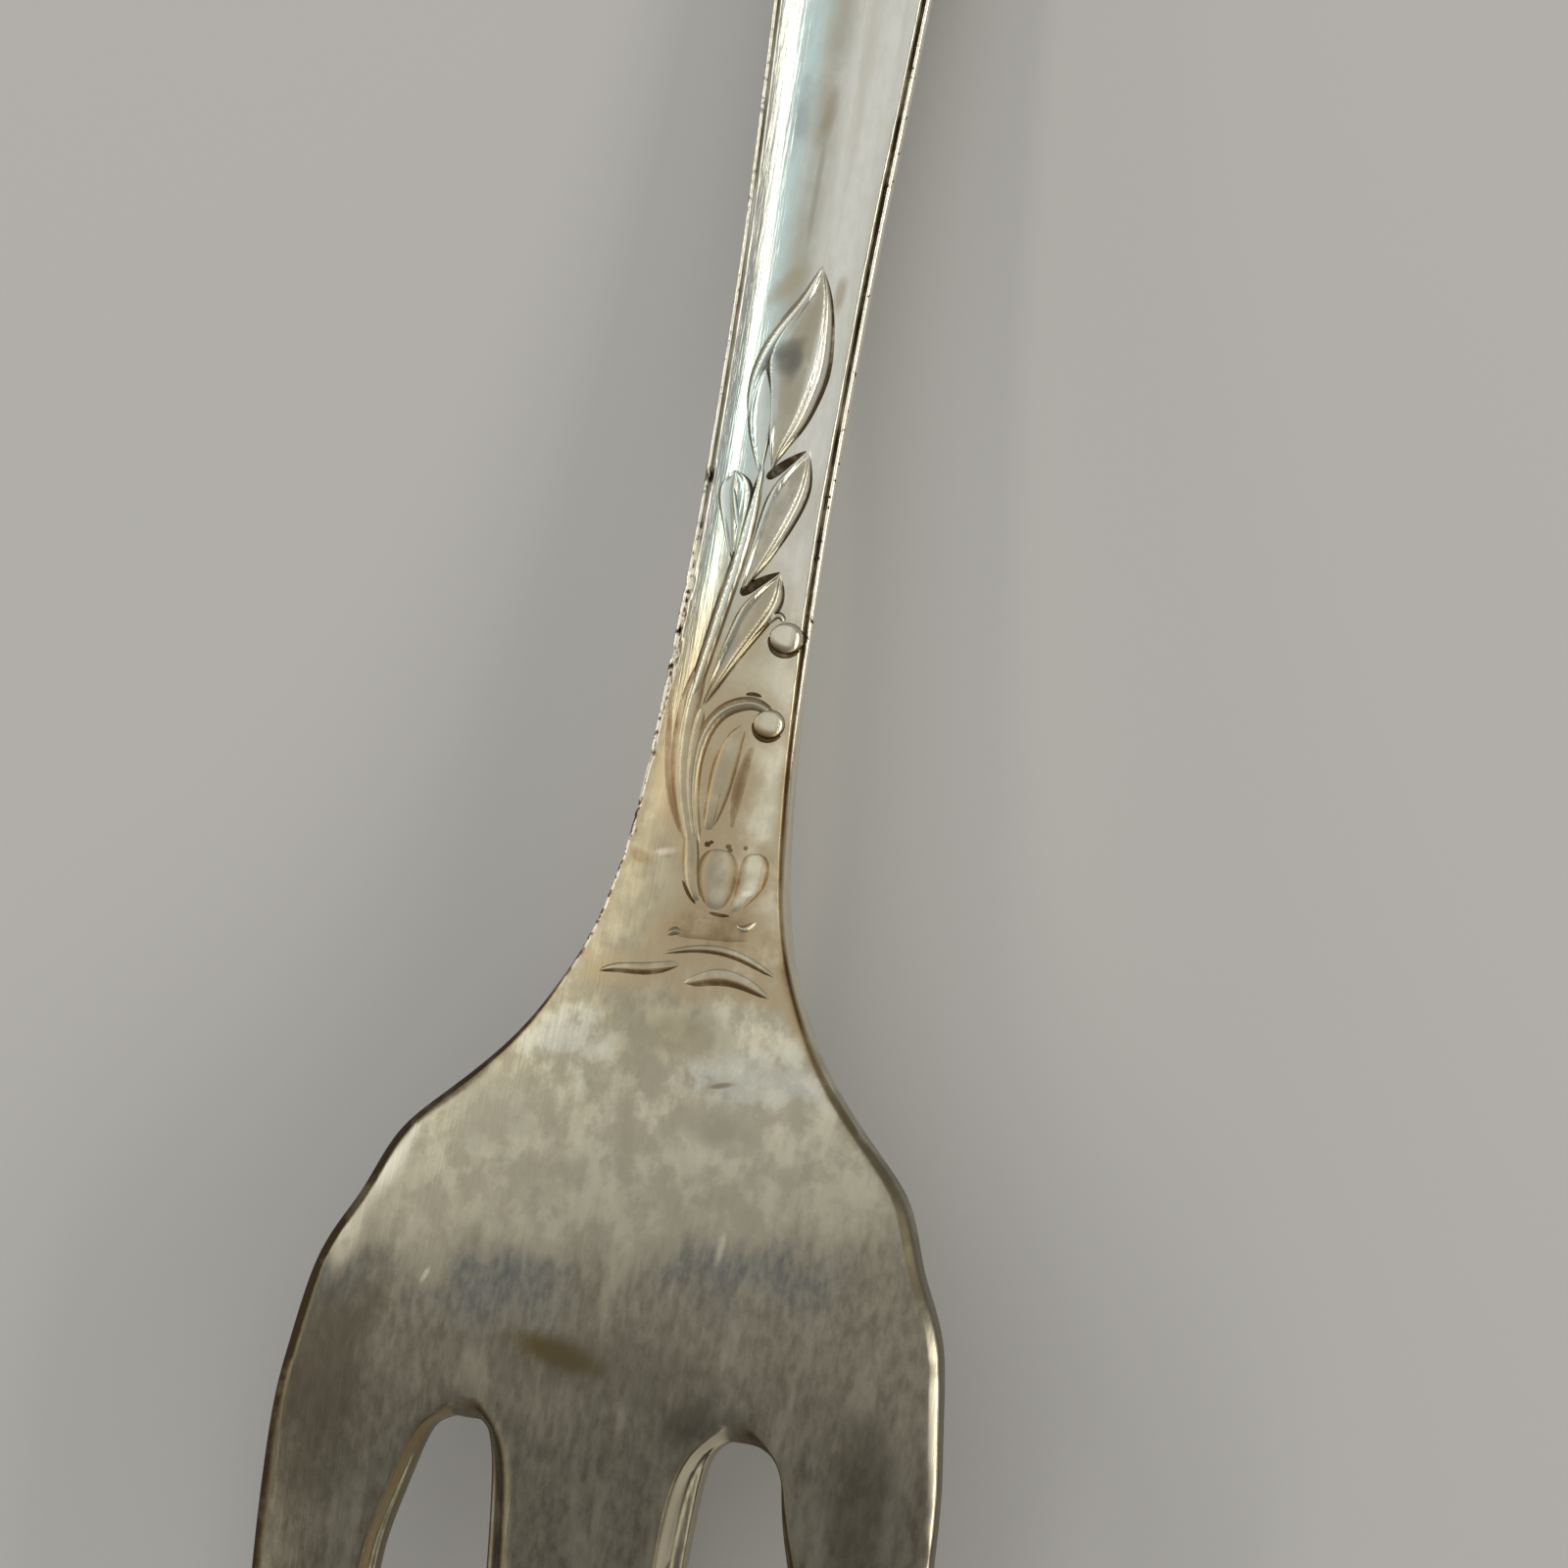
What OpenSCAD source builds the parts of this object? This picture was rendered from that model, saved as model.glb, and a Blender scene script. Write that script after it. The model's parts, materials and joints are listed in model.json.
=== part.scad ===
// Oyster fork with three tines, lying face down with its back up.
// The tine tips point to -Y, the handle's end to +Y, and Z is up from the surface it lies on.
// Widths are those of the back. The side walls flare out from there to the front.

/* [Overall] */
// Length from the tine tips to the end of the handle
fork_length = 142; // [132:1:152]
// Height of the underside at the top of the bend, by the slot roots
belly_height = 6.4; // [5.4:0.1:7.4]
// Height of the underside where the palm meets the neck
neck_height = 4.5; // [3.5:0.1:5.5]
// Height of the underside at the very end of the handle
end_lift = 0.9; // [0.3:0.1:2]

/* [Tines] */
// Length of the tines, from their tips to the slot roots
tine_length = 26; // [22:0.5:30]
// Greatest width across the outer tines
head_width = 18.8; // [18.5:0.1:20.5]
// Distance between the roots of the two slots
slot_spacing = 7.9; // [7:0.1:8.8]
// Length of the rounded root of each slot along the outer tine
slot_root_length = 6; // [4:0.25:8]
// Length of the rounded root of each slot along the centre tine
slot_inner_length = 3.5; // [2.5:0.25:5]
// Width of the centre tine, taken back to the slot roots
centre_tine_width = 4.6; // [3.8:0.1:5.2]
// Width of an outer tine, taken back to the slot roots
outer_tine_width = 3.35; // [2.8:0.05:3.8]
// Width of each tine just before its rounded tip
tip_width = 1.5; // [1:0.1:2]
// Width across the tips of the outer tines
tip_span = 15.8; // [15:0.2:18]
// Length of the rounding of each tip
tip_round = 1.2; // [0.8:0.1:2]
// Thickness of the tines at their tips
tip_thickness = 0.9; // [0.75:0.05:1.2]
// Rounding of each tine's own back, on top of the head's
tine_crown = 0.16; // [0.06:0.02:0.24]

/* [Palm] */
// Length of the palm, from the slot roots to the neck
palm_length = 12; // [11:0.25:14]
// Width of the palm at the slot roots
root_width = 18.4; // [18:0.1:18.5]
// Width of the palm across the lower lobe of its shoulders
shoulder_width = 17.4; // [16.8:0.1:17.8]
// Distance of the lower lobe from the slot roots
shoulder_up = 3.3; // [2.8:0.1:3.8]
// Width of the palm between the two lobes of its shoulders
waist_width = 15.8; // [15.2:0.1:16.4]
// Distance of that waist from the slot roots
waist_up = 4.9; // [4.4:0.1:5.4]
// Width of the palm across the upper lobe of its shoulders
lobe_width = 14.2; // [13.4:0.1:15]
// Distance of the upper lobe from the slot roots
lobe_up = 7; // [6.4:0.1:7.4]
// Width where the palm draws in to the neck
flare_width = 11.1; // [9.4:0.1:12]
// Distance of that width from the slot roots
flare_up = 8.6; // [8:0.1:9.6]
// Thickness of the palm at the slot roots
palm_thickness = 1.45; // [1.2:0.05:1.8]
// Rise of the palm's back from its edges to its middle
palm_crown = 0.6; // [0.4:0.05:0.7]

/* [Handle] */
// Width where the palm meets the neck
neck_width = 6.56; // [5.6:0.08:7.2]
// Width at the lower end of the stems
throat_width = 4.46; // [4.1:0.02:5.2]
// Distance of that width from the neck
throat_up = 4; // [3:0.25:5]
// Narrowest width of the handle
shank_width = 3.6; // [3.2:0.05:4]
// Distance of the narrowest place from the slot roots
shank_up = 26; // [24:0.5:30]
// Length of the neck, from the palm to the shank
neck_length = 7.5; // [6:0.25:9]
// Share of the handle beyond the palm that is the neck and the narrow shank
shank_share = 0.25; // [0.22:0.01:0.32]
// Width of the handle where it leaves the ornament
handle_width = 4.32; // [4.1:0.02:5]
// Distance of that width from the slot roots
handle_up = 40; // [36:0.2:46]
// Greatest width of the handle, near its end
end_width = 9.4; // [8:0.2:11]
// Length of the rounded end
end_round = 11; // [8:0.5:14]
// Width of the blunt tip of the end
end_blunt = 0.9; // [0.8:0.1:2]
// Thickness at the neck, where the fork is strongest
neck_thickness = 1.75; // [1.5:0.05:2.2]
// Thickness at the end of the handle
end_thickness = 1.4; // [1.2:0.05:1.7]
// Rise of the handle's back from its edges to its middle
back_crown = 0.42; // [0.2:0.02:0.6]
// Distance from the end of the handle to the near edge of the flat underside
rest_from = 19; // [17:0.5:22]
// Length of the flat underside that the handle rests on
rest_length = 20; // [14:1:28]

/* [Edges] */
// Rounding along the edges of the back
edge_round = 0.16; // [0.08:0.02:0.24]
// Rounding along the edges of the front
lip_round = 0.14; // [0.08:0.02:0.2]
// Flare of the side walls of the handle, from the back out to the front
lip_flare = 0.06; // [0.02:0.02:0.16]
// Flare of the side walls of the head at the slot roots
head_flare = 0.34; // [0.2:0.02:0.5]
// Flare of the side walls at the shoulders
shoulder_flare = 0.32; // [0.2:0.02:0.5]
// Flare of the side walls half way down to the neck
palm_flare = 0.18; // [0.1:0.02:0.3]
// Flare of the walls of the slots below their roots
slot_flare = 0.4; // [0.2:0.05:0.5]

/* [Ornament] */
// Height of the leaves above the back
leaf_height = 0.24; // [0.12:0.02:0.4]
// Height of the stems above the back
stem_height = 0.2; // [0.1:0.02:0.3]
// Width of the stems
stem_width = 0.22; // [0.16:0.02:0.3]
// Diameter of the round buds
bud_diameter = 0.94; // [0.7:0.02:0.98]
// Height of the round buds
bud_height = 0.34; // [0.2:0.02:0.5]
// Height of the cup that gathers the stems
cup_height = 0.26; // [0.14:0.02:0.36]
// Height of the arched bands at the foot
band_height = 0.18; // [0.1:0.02:0.28]

/* [Hidden] */
$fn = 48;
silver = [0.80, 0.78, 0.73];
bright = [0.88, 0.87, 0.84];
y_tip = -fork_length / 2;
y_end = fork_length / 2;
y_root = y_tip + tine_length;
y_neck = y_root + palm_length;
y_belly = y_root - 1;
y_rest_end = y_end - rest_from;
y_rest_start = y_rest_end - rest_length;
y_shank = y_neck + neck_length;
y_handle = y_neck + shank_share * (y_end - y_neck);
tine_steps = 22;
crown_steps = 4;
thickest_up = 5;

// Smooth curve through a list of [position, value] pairs that never overshoots between two of them
function step_of(p, i) = p[i + 1][0] - p[i][0];
function rise_of(p, i) = (p[i + 1][1] - p[i][1]) / step_of(p, i);
function tangent(p, i) =
    i == 0 ? rise_of(p, 0) :
    i == len(p) - 1 ? rise_of(p, i - 1) :
    rise_of(p, i - 1) * rise_of(p, i) <= 0 ? 0 :
    3 * (step_of(p, i - 1) + step_of(p, i)) / (
        (2 * step_of(p, i) + step_of(p, i - 1)) / rise_of(p, i - 1)
        + (step_of(p, i) + 2 * step_of(p, i - 1)) / rise_of(p, i)
    );
function span_of(p, q, i = 0) = i >= len(p) - 2 || q <= p[i + 1][0] ? i : span_of(p, q, i + 1);
function hermite(t, a, b, ta, tb) =
    (1 + 2 * t) * pow(1 - t, 2) * a + t * pow(1 - t, 2) * ta
    + t * t * (3 - 2 * t) * b + t * t * (t - 1) * tb;
function through(p, q) =
    let (i = span_of(p, q), h = step_of(p, i))
    hermite((q - p[i][0]) / h, p[i][1], p[i + 1][1], h * tangent(p, i), h * tangent(p, i + 1));

// Height of the underside along the fork: bowed tines, palm, falling handle, flat rest, lifted end
neck_slope = -2 * neck_height / (y_rest_start - y_neck);
function underside(y) =
    y < y_belly ? belly_height * (1 - pow((y_belly - y) / (y_belly - y_tip), 2)) :
    y < y_neck ? hermite((y - y_belly) / (y_neck - y_belly), belly_height, neck_height,
        0, neck_slope * (y_neck - y_belly)) :
    y < y_rest_start ? neck_height * pow((y_rest_start - y) / (y_rest_start - y_neck), 2) :
    y < y_rest_end ? 0 :
    end_lift * pow((y - y_rest_end) / rest_from, 2);

// Thickness and rise of the back along the fork
function thickness(y) = through([
    [y_tip, tip_thickness], [y_root, palm_thickness], [y_neck + thickest_up, neck_thickness],
    [y_handle, neck_thickness - 0.1], [y_end, end_thickness]
], y);
function crown(y) = through([
    [y_tip, palm_crown / 2], [y_root, palm_crown], [y_root + flare_up, palm_crown * 0.9],
    [y_neck, back_crown], [y_end, back_crown]
], y);

// Half width of the back along the palm and the handle
y_wide = y_end - end_round;
function end_taper(y) =
    let (q = max(0, (y - y_wide) / end_round), tip = end_blunt / end_width)
    tip + (1 - tip) * pow(max(0, 1 - pow(q, 2.2)), 0.55);
function back_half(y) =
    through([
        [y_root, root_width / 2], [y_root + shoulder_up, shoulder_width / 2],
        [y_root + waist_up, waist_width / 2], [y_root + lobe_up, lobe_width / 2],
        [y_root + flare_up, flare_width / 2], [y_neck, neck_width / 2],
        [y_neck + throat_up, throat_width / 2], [y_root + shank_up, shank_width / 2],
        [y_root + handle_up, handle_width / 2],
        [y_wide, end_width / 2], [y_end, end_width / 2]
    ], y) * end_taper(y);
function wall_flare(y) = through([
    [y_tip, head_flare / 2], [y_root, head_flare], [y_root + shoulder_up, shoulder_flare],
    [y_root + flare_up, palm_flare], [y_neck + throat_up, lip_flare], [y_end, lip_flare]
], y);

// Edges of the tines, measured down from the slot roots
function root_curve(d, length) = d >= length ? 1 : sqrt(1 - pow(1 - d / length, 2));
function along(d, a, b) = a + (b - a) * d / tine_length;
function outer_edge(d) = through([
    [0, root_width / 2], [tine_length * 0.2, head_width / 2],
    [tine_length * 0.62, head_width / 2 - (head_width - tip_span) * 0.11], [tine_length, tip_span / 2]
], d);
function centre_edge(d) =
    along(d, centre_tine_width / 2, tip_width / 2)
    + (slot_spacing - centre_tine_width) / 2 * (1 - root_curve(d, slot_inner_length));
function inner_edge(d) =
    let (inside = outer_edge(d) - along(d, outer_tine_width, tip_width))
    inside - (root_width / 2 - outer_tine_width - slot_spacing / 2) * (1 - root_curve(d, slot_root_length));
function slot_wall_flare(d) = through([
    [0, 0], [slot_inner_length, slot_flare * 0.3], [slot_root_length, slot_flare],
    [tine_length, slot_flare * 0.3]
], d);
function tip_share(d) =
    let (q = max(0, (d - tine_length + tip_round) / tip_round))
    0.3 + 0.7 * sqrt(1 - q * q);

// The back falls from the middle of the fork to its edges, across all three tines at once
function reach(y) = y < y_root ? outer_edge(y_root - y) : back_half(y);
function back_rise(x, y) = thickness(y) - crown(y) * pow(x / reach(y), 2);
function back_height(x, y) = underside(y) + back_rise(x, y);

// One side of a ring: front lip, side wall and rounded edge of the back
function side_wall(x, way, flare, high, bend, lip) = [
    [x + way * (flare - lip), 0], [x + way * flare, lip],
    [x, high - bend], [x - way * 0.3 * bend, high - 0.3 * bend]
];

// One ring round the metal between two edges of the back: a wall, the back and the other wall
function ring(y, left, right, left_flare, right_flare, own_crown = 0) =
    let (
        middle = (left + right) / 2,
        half = (right - left) / 2,
        top = function (x) back_rise(x, y) - own_crown * pow((x - middle) / half, 2),
        thin = min(top(left), top(right)),
        bend = min(edge_round, 0.4 * half, 0.35 * thin),
        lip = min(lip_round, 0.4 * half, 0.35 * thin),
        left_wall = side_wall(left, -1, left_flare, top(left), bend, lip),
        back = [for (k = [crown_steps : -1 : -crown_steps])
            let (x = middle + (half - bend) * k / crown_steps) [x, top(x)]],
        points = concat(side_wall(right, 1, right_flare, top(right), bend, lip), back,
            [for (k = [len(left_wall) - 1 : -1 : 0]) left_wall[k]])
    )
    [for (p = points) [p[0], y, underside(y) + p[1]]];
function full_ring(y) = ring(y, -back_half(y), back_half(y), wall_flare(y), wall_flare(y));

// Closed skin over a row of rings that all have the same number of points
module loft(rings) {
    n = len(rings[0]);
    last = len(rings) - 1;
    polyhedron(
        points = [for (r = rings) each r],
        faces = concat(
            [for (i = [0 : last - 1]) for (j = [0 : n - 1])
                let (a = i * n + j, b = i * n + (j + 1) % n) each [[a, b, a + n], [b, b + n, a + n]]],
            [for (j = [1 : n - 2]) [0, j + 1, j]],
            [for (j = [1 : n - 2]) [last * n, last * n + j, last * n + j + 1]]
        ),
        convexity = 6
    );
}

module stretch(from, to, steps) {
    loft([for (k = [0 : steps]) full_ring(from + (to - from) * k / steps)]);
}

// Stations of a tine lie closer together at the slot root and at the tip
function tine_station(k) =
    let (t = k / tine_steps)
    tine_length * (t < 0.5 ? 2 * t * t :
        t < 0.8 ? 0.5 + (t - 0.5) * 1.45 :
        1 - 0.065 * pow((1 - t) / 0.2, 1.6));
function tine_ring(d, inside, outside, outside_flare) =
    let (middle = (inside + outside) / 2, half = (outside - inside) / 2 * tip_share(d))
    ring(y_root - d, middle - half, middle + half, slot_wall_flare(d), outside_flare,
        tine_crown * min(1, d / slot_root_length));

module outer_tine() {
    loft([for (k = [tine_steps : -1 : 0])
        let (d = tine_station(k)) tine_ring(d, inner_edge(d), outer_edge(d), wall_flare(y_root - d))]);
}

module tine_right() {
    color(silver) outer_tine();
}

module tine_left() {
    color(silver) mirror([1, 0, 0]) outer_tine();
}

module tine_centre() {
    color(silver) loft([for (k = [tine_steps : -1 : 0])
        let (d = tine_station(k)) tine_ring(d, -centre_edge(d), centre_edge(d), slot_wall_flare(d))]);
}

module palm() {
    color(silver) stretch(y_root, y_neck, 30);
}

module neck() {
    color(silver) stretch(y_neck, y_shank, 10);
}

module shank() {
    color(silver) stretch(y_shank, y_handle, 12);
}

module handle() {
    color(silver) loft([for (y = concat(
        [for (k = [0 : 11]) y_handle + (y_rest_start - y_handle) * k / 12],
        [for (k = [0 : 6]) y_rest_start + rest_length * k / 6]
    )) full_ring(y)]);
}

module handle_end() {
    color(silver) loft([for (k = [0 : 18])
        let (t = k / 18) full_ring(y_rest_end + rest_from * (1 - pow(1 - t, 1.7)))]);
}

// The ornament is placed by its share of the back's half width and its distance up from the neck
function spot(share, up) = [share * back_half(y_neck + up), y_neck + up];
function seated(p, h) = [p[0], p[1], back_height(p[0], p[1]) + h];
function turn(v) = [v[1], -v[0]] / norm(v);

// Leaf with a raised rim and a hollow middle, from its base to its tip
leaf_steps = 12;
leaf_rim = [[-1, 0.2], [-0.82, 0.8], [-0.45, 0.55], [0, 0.4], [0.45, 0.6], [0.82, 1], [1, 0.2]];
module leaf(base, tip, half, bow, size = 1) {
    way = tip - base;
    side = turn(way);
    loft([for (k = [0 : leaf_steps])
        let (t = k / leaf_steps, c = base + way * t + side * bow * sin(180 * t),
            w = half * (0.06 + 0.94 * pow(sin(180 * pow(0.02 + 0.96 * t, 0.85)), 0.8)),
            h = leaf_height * size * (0.45 + 0.55 * sin(180 * (0.05 + 0.9 * t))))
        concat(
            [for (s = [1, 0, -1]) seated(c + side * w * s, 0)],
            [for (r = leaf_rim) seated(c + side * w * r[0], h * r[1])]
        )]);
}

// Round-backed stem along a curve through a few spots
stem_steps = 14;
function on_path(p, t) = [through([for (k = [0 : len(p) - 1]) [k, p[k][0]]], t * (len(p) - 1)),
    through([for (k = [0 : len(p) - 1]) [k, p[k][1]]], t * (len(p) - 1))];
module stem(path, width, height, thin = 0.5) {
    loft([for (k = [0 : stem_steps])
        let (t = k / stem_steps, c = on_path(path, t),
            ahead = on_path(path, min(1, t + 0.02)) - on_path(path, max(0, t - 0.02)),
            side = turn(ahead), w = width / 2 * (1 - (1 - thin) * t))
        concat(
            [for (s = [1, 0, -1]) seated(c + side * w * s, 0)],
            [for (s = [-1, -0.6, 0, 0.6, 1])
                seated(c + side * w * s, height * (0.15 + 0.85 * sqrt(1 - s * s)))]
        )]);
}

module top_leaf() {
    color(bright) leaf(spot(0.08, 15.05), spot(0.32, 21), 0.84, 0);
}

module left_leaves() {
    color(bright) {
        leaf(spot(-0.11, 15), spot(-0.29, 17.95), 0.36, -0.06, 0.8);
        leaf(spot(-0.29, 12.3), spot(-0.5, 14.85), 0.46, -0.04, 0.9);
    }
}

module right_leaves() {
    color(bright) {
        leaf(spot(-0.05, 11.45), spot(0.6, 15.55), 0.5, 0.05);
        leaf(spot(-0.31, 8.15), spot(0.47, 11.95), 0.46, 0.02);
    }
}

module main_stem() {
    color(bright) stem([spot(-0.28, 4.9), spot(-0.42, 5.7), spot(-0.5, 7.05), spot(-0.47, 8.8),
        spot(-0.31, 11.1), spot(-0.08, 14.9)], stem_width, stem_height);
}

module bud_sprigs() {
    color(bright) {
        stem([spot(-0.16, 4.9), spot(-0.24, 5.7), spot(-0.26, 6.7), spot(-0.15, 7.55), spot(0.17, 8.15),
            spot(0.48, 8.2)], stem_width, stem_height, 0.7);
        stem([spot(0.5, 10.65), spot(0.56, 10.88), spot(0.62, 10.95)],
            stem_width * 0.6, stem_height * 0.8, 0.8);
    }
}

// Low dome that stands square to the crowned back
module bud(share, up) {
    p = spot(share, up);
    lean = atan(2 * crown(p[1]) * p[0] / pow(back_half(p[1]), 2));
    pitch = atan(back_height(p[0], p[1] + 0.05) - back_height(p[0], p[1] - 0.05)) * 10;
    r = bud_diameter / 2;
    translate(seated(p, 0)) rotate([pitch, lean, 0]) rotate_extrude()
        polygon(concat([[0, 0], [r, 0]],
            [for (a = [0 : 15 : 90]) [r * cos(a), bud_height * (0.35 + 0.65 * sin(a))]]));
}

module buds() {
    color(bright) {
        bud(0.7, 10.2);
        bud(0.64, 7.65);
    }
}

module stalks() {
    color(bright) {
        stem([spot(-0.36, 6.1), spot(-0.385, 7.2), spot(-0.345, 7.9)],
            stem_width * 0.5, stem_height * 0.7, 0.8);
        stem([spot(0.02, 4.45), spot(-0.025, 5.9), spot(0.015, 7.1), spot(0.2, 7.7)],
            stem_width, stem_height * 0.7);
        stem([spot(0.24, 4.5), spot(0.22, 6), spot(0.33, 6.9)], stem_width, stem_height * 0.6);
    }
}

// Cup of three lobes at the foot of the stalks, wide at its mouth and drawn in below
cup_steps = 10;
cup_lobes = [[-1, 0.2], [-0.85, 0.75], [-0.7, 0.75], [-0.56, 0.35], [-0.4, 0.85], [-0.05, 1], [0.2, 0.85],
    [0.32, 0.35], [0.48, 0.85], [0.82, 0.75], [1, 0.2]];
module cup() {
    color(bright) loft([for (k = [0 : cup_steps])
        let (t = k / cup_steps, y = y_neck + 2.3 + 1.85 * t, c = [0.34 * back_half(y), y],
            w = 0.53 * back_half(y_neck + throat_up) * (0.35 + 0.65 * sqrt(1 - pow(1 - t, 2))),
            h = cup_height * (0.4 + 0.6 * sin(180 * (0.1 + 0.75 * t))), side = turn([0, 1]))
        concat(
            [for (s = [1, 0, -1]) seated(c + side * w * s, 0)],
            [for (s = cup_lobes) seated(c + side * w * s[0], h * s[1])]
        )]);
}

module foot_bands() {
    color(bright) {
        stem([spot(-0.2, 0.82), spot(0.04, 1.08), spot(0.34, 1.19), spot(0.6, 1.07), spot(0.88, 0.62)],
            stem_width, band_height, 0.6);
        stem([spot(-0.72, 0.16), spot(-0.39, 0.4), spot(0, 0.62)], stem_width * 1.3, band_height, 0.7);
        stem([spot(0.09, 0.2), spot(0.36, 0.6), spot(0.58, 0.53), spot(0.8, 0.16)],
            stem_width * 1.3, band_height, 0.7);
    }
}

tine_left();
tine_centre();
tine_right();
palm();
neck();
shank();
handle();
handle_end();
top_leaf();
left_leaves();
right_leaves();
main_stem();
bud_sprigs();
buds();
stalks();
cup();
foot_bands();
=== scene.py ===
import json
import math
import bmesh
import bpy
from mathutils import Matrix, Vector, noise
from mathutils.bvhtree import BVHTree
from mathutils.kdtree import KDTree

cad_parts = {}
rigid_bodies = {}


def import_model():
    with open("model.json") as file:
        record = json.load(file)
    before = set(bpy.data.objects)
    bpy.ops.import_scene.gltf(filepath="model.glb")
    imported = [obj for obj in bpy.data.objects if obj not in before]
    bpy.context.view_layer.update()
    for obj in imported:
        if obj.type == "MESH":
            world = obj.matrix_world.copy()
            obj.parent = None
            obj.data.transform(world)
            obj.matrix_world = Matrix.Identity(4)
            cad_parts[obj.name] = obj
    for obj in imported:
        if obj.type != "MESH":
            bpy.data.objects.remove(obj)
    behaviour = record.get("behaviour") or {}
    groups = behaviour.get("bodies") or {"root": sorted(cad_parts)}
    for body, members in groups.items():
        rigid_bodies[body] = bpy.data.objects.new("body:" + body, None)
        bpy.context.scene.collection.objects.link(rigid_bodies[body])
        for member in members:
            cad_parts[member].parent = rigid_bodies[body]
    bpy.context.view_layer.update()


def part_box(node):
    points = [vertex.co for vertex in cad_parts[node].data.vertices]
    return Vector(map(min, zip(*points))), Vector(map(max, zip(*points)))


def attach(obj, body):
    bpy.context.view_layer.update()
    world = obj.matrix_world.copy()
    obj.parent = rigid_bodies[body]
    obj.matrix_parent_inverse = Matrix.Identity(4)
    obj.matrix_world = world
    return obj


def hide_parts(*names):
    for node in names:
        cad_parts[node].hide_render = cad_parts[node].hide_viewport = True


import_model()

mm = 0.001
tiny = 1e-6
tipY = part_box("tine_centre")[0][1]
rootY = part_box("palm")[0][1]
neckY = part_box("palm")[1][1]
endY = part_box("handle_end")[1][1]
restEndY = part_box("handle_end")[0][1]
print("frame loaded, fork runs from", round(tipY, 4), "to", round(endY, 4))


def setMode(mode):
    bpy.ops.object.mode_set(mode=mode)


def resize(scale, centre=(0, 0, 0)):
    bpy.ops.transform.resize(value=scale, center_override=centre)


def deselectAll():
    if bpy.context.object and bpy.context.object.mode != 'OBJECT':
        setMode('OBJECT')
    bpy.ops.object.select_all(action='DESELECT')


def pickPieces(*pieces):
    deselectAll()
    for piece in pieces:
        piece.select_set(True)
    bpy.context.view_layer.objects.active = pieces[0]


def addSheet(name, columns, rows):
    deselectAll()
    bpy.ops.mesh.primitive_grid_add(x_subdivisions=columns, y_subdivisions=rows, size=2)
    sheet = bpy.context.object
    sheet.name = name
    setMode('EDIT')
    bpy.ops.mesh.select_mode(type='VERT')
    return sheet


def pickVerts(sheet, wanted):
    bpy.ops.mesh.select_all(action='DESELECT')
    mesh = bmesh.from_edit_mesh(sheet.data)
    mesh.verts.ensure_lookup_table()
    for v in wanted(mesh):
        v.select = True
    mesh.select_flush_mode()
    bmesh.update_edit_mesh(sheet.data)


def applyModifier(piece, kind, **settings):
    pickPieces(piece)
    step = piece.modifiers.new(kind.title(), kind)
    for key, value in settings.items():
        setattr(step, key, value)
    bpy.ops.object.modifier_apply(modifier=step.name)


def clamped(value):
    return min(1, max(0, value))


def smoothCurve(points, q):  # eased curve through (place, value) pairs, no overshoot
    k = 0
    while k < len(points) - 2 and q > points[k + 1][0]:
        k += 1
    steps = [b[0] - a[0] for a, b in zip(points, points[1:])]
    rises = [(b[1] - a[1]) / s for a, b, s in zip(points, points[1:], steps)]

    def lean(i):
        if i == 0:
            return rises[0]
        if i == len(points) - 1:
            return rises[-1]
        if rises[i - 1] * rises[i] <= 0:
            return 0
        before = 2 * steps[i] + steps[i - 1]
        after = steps[i] + 2 * steps[i - 1]
        return (before + after) / (before / rises[i - 1] + after / rises[i])
    t = (q - points[k][0]) / steps[k]
    return ((1 + 2 * t) * (1 - t) ** 2 * points[k][1] + t * (1 - t) ** 2 * steps[k] * lean(k)
            + t * t * (3 - 2 * t) * points[k + 1][1] + t * t * (t - 1) * steps[k] * lean(k + 1))


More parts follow.
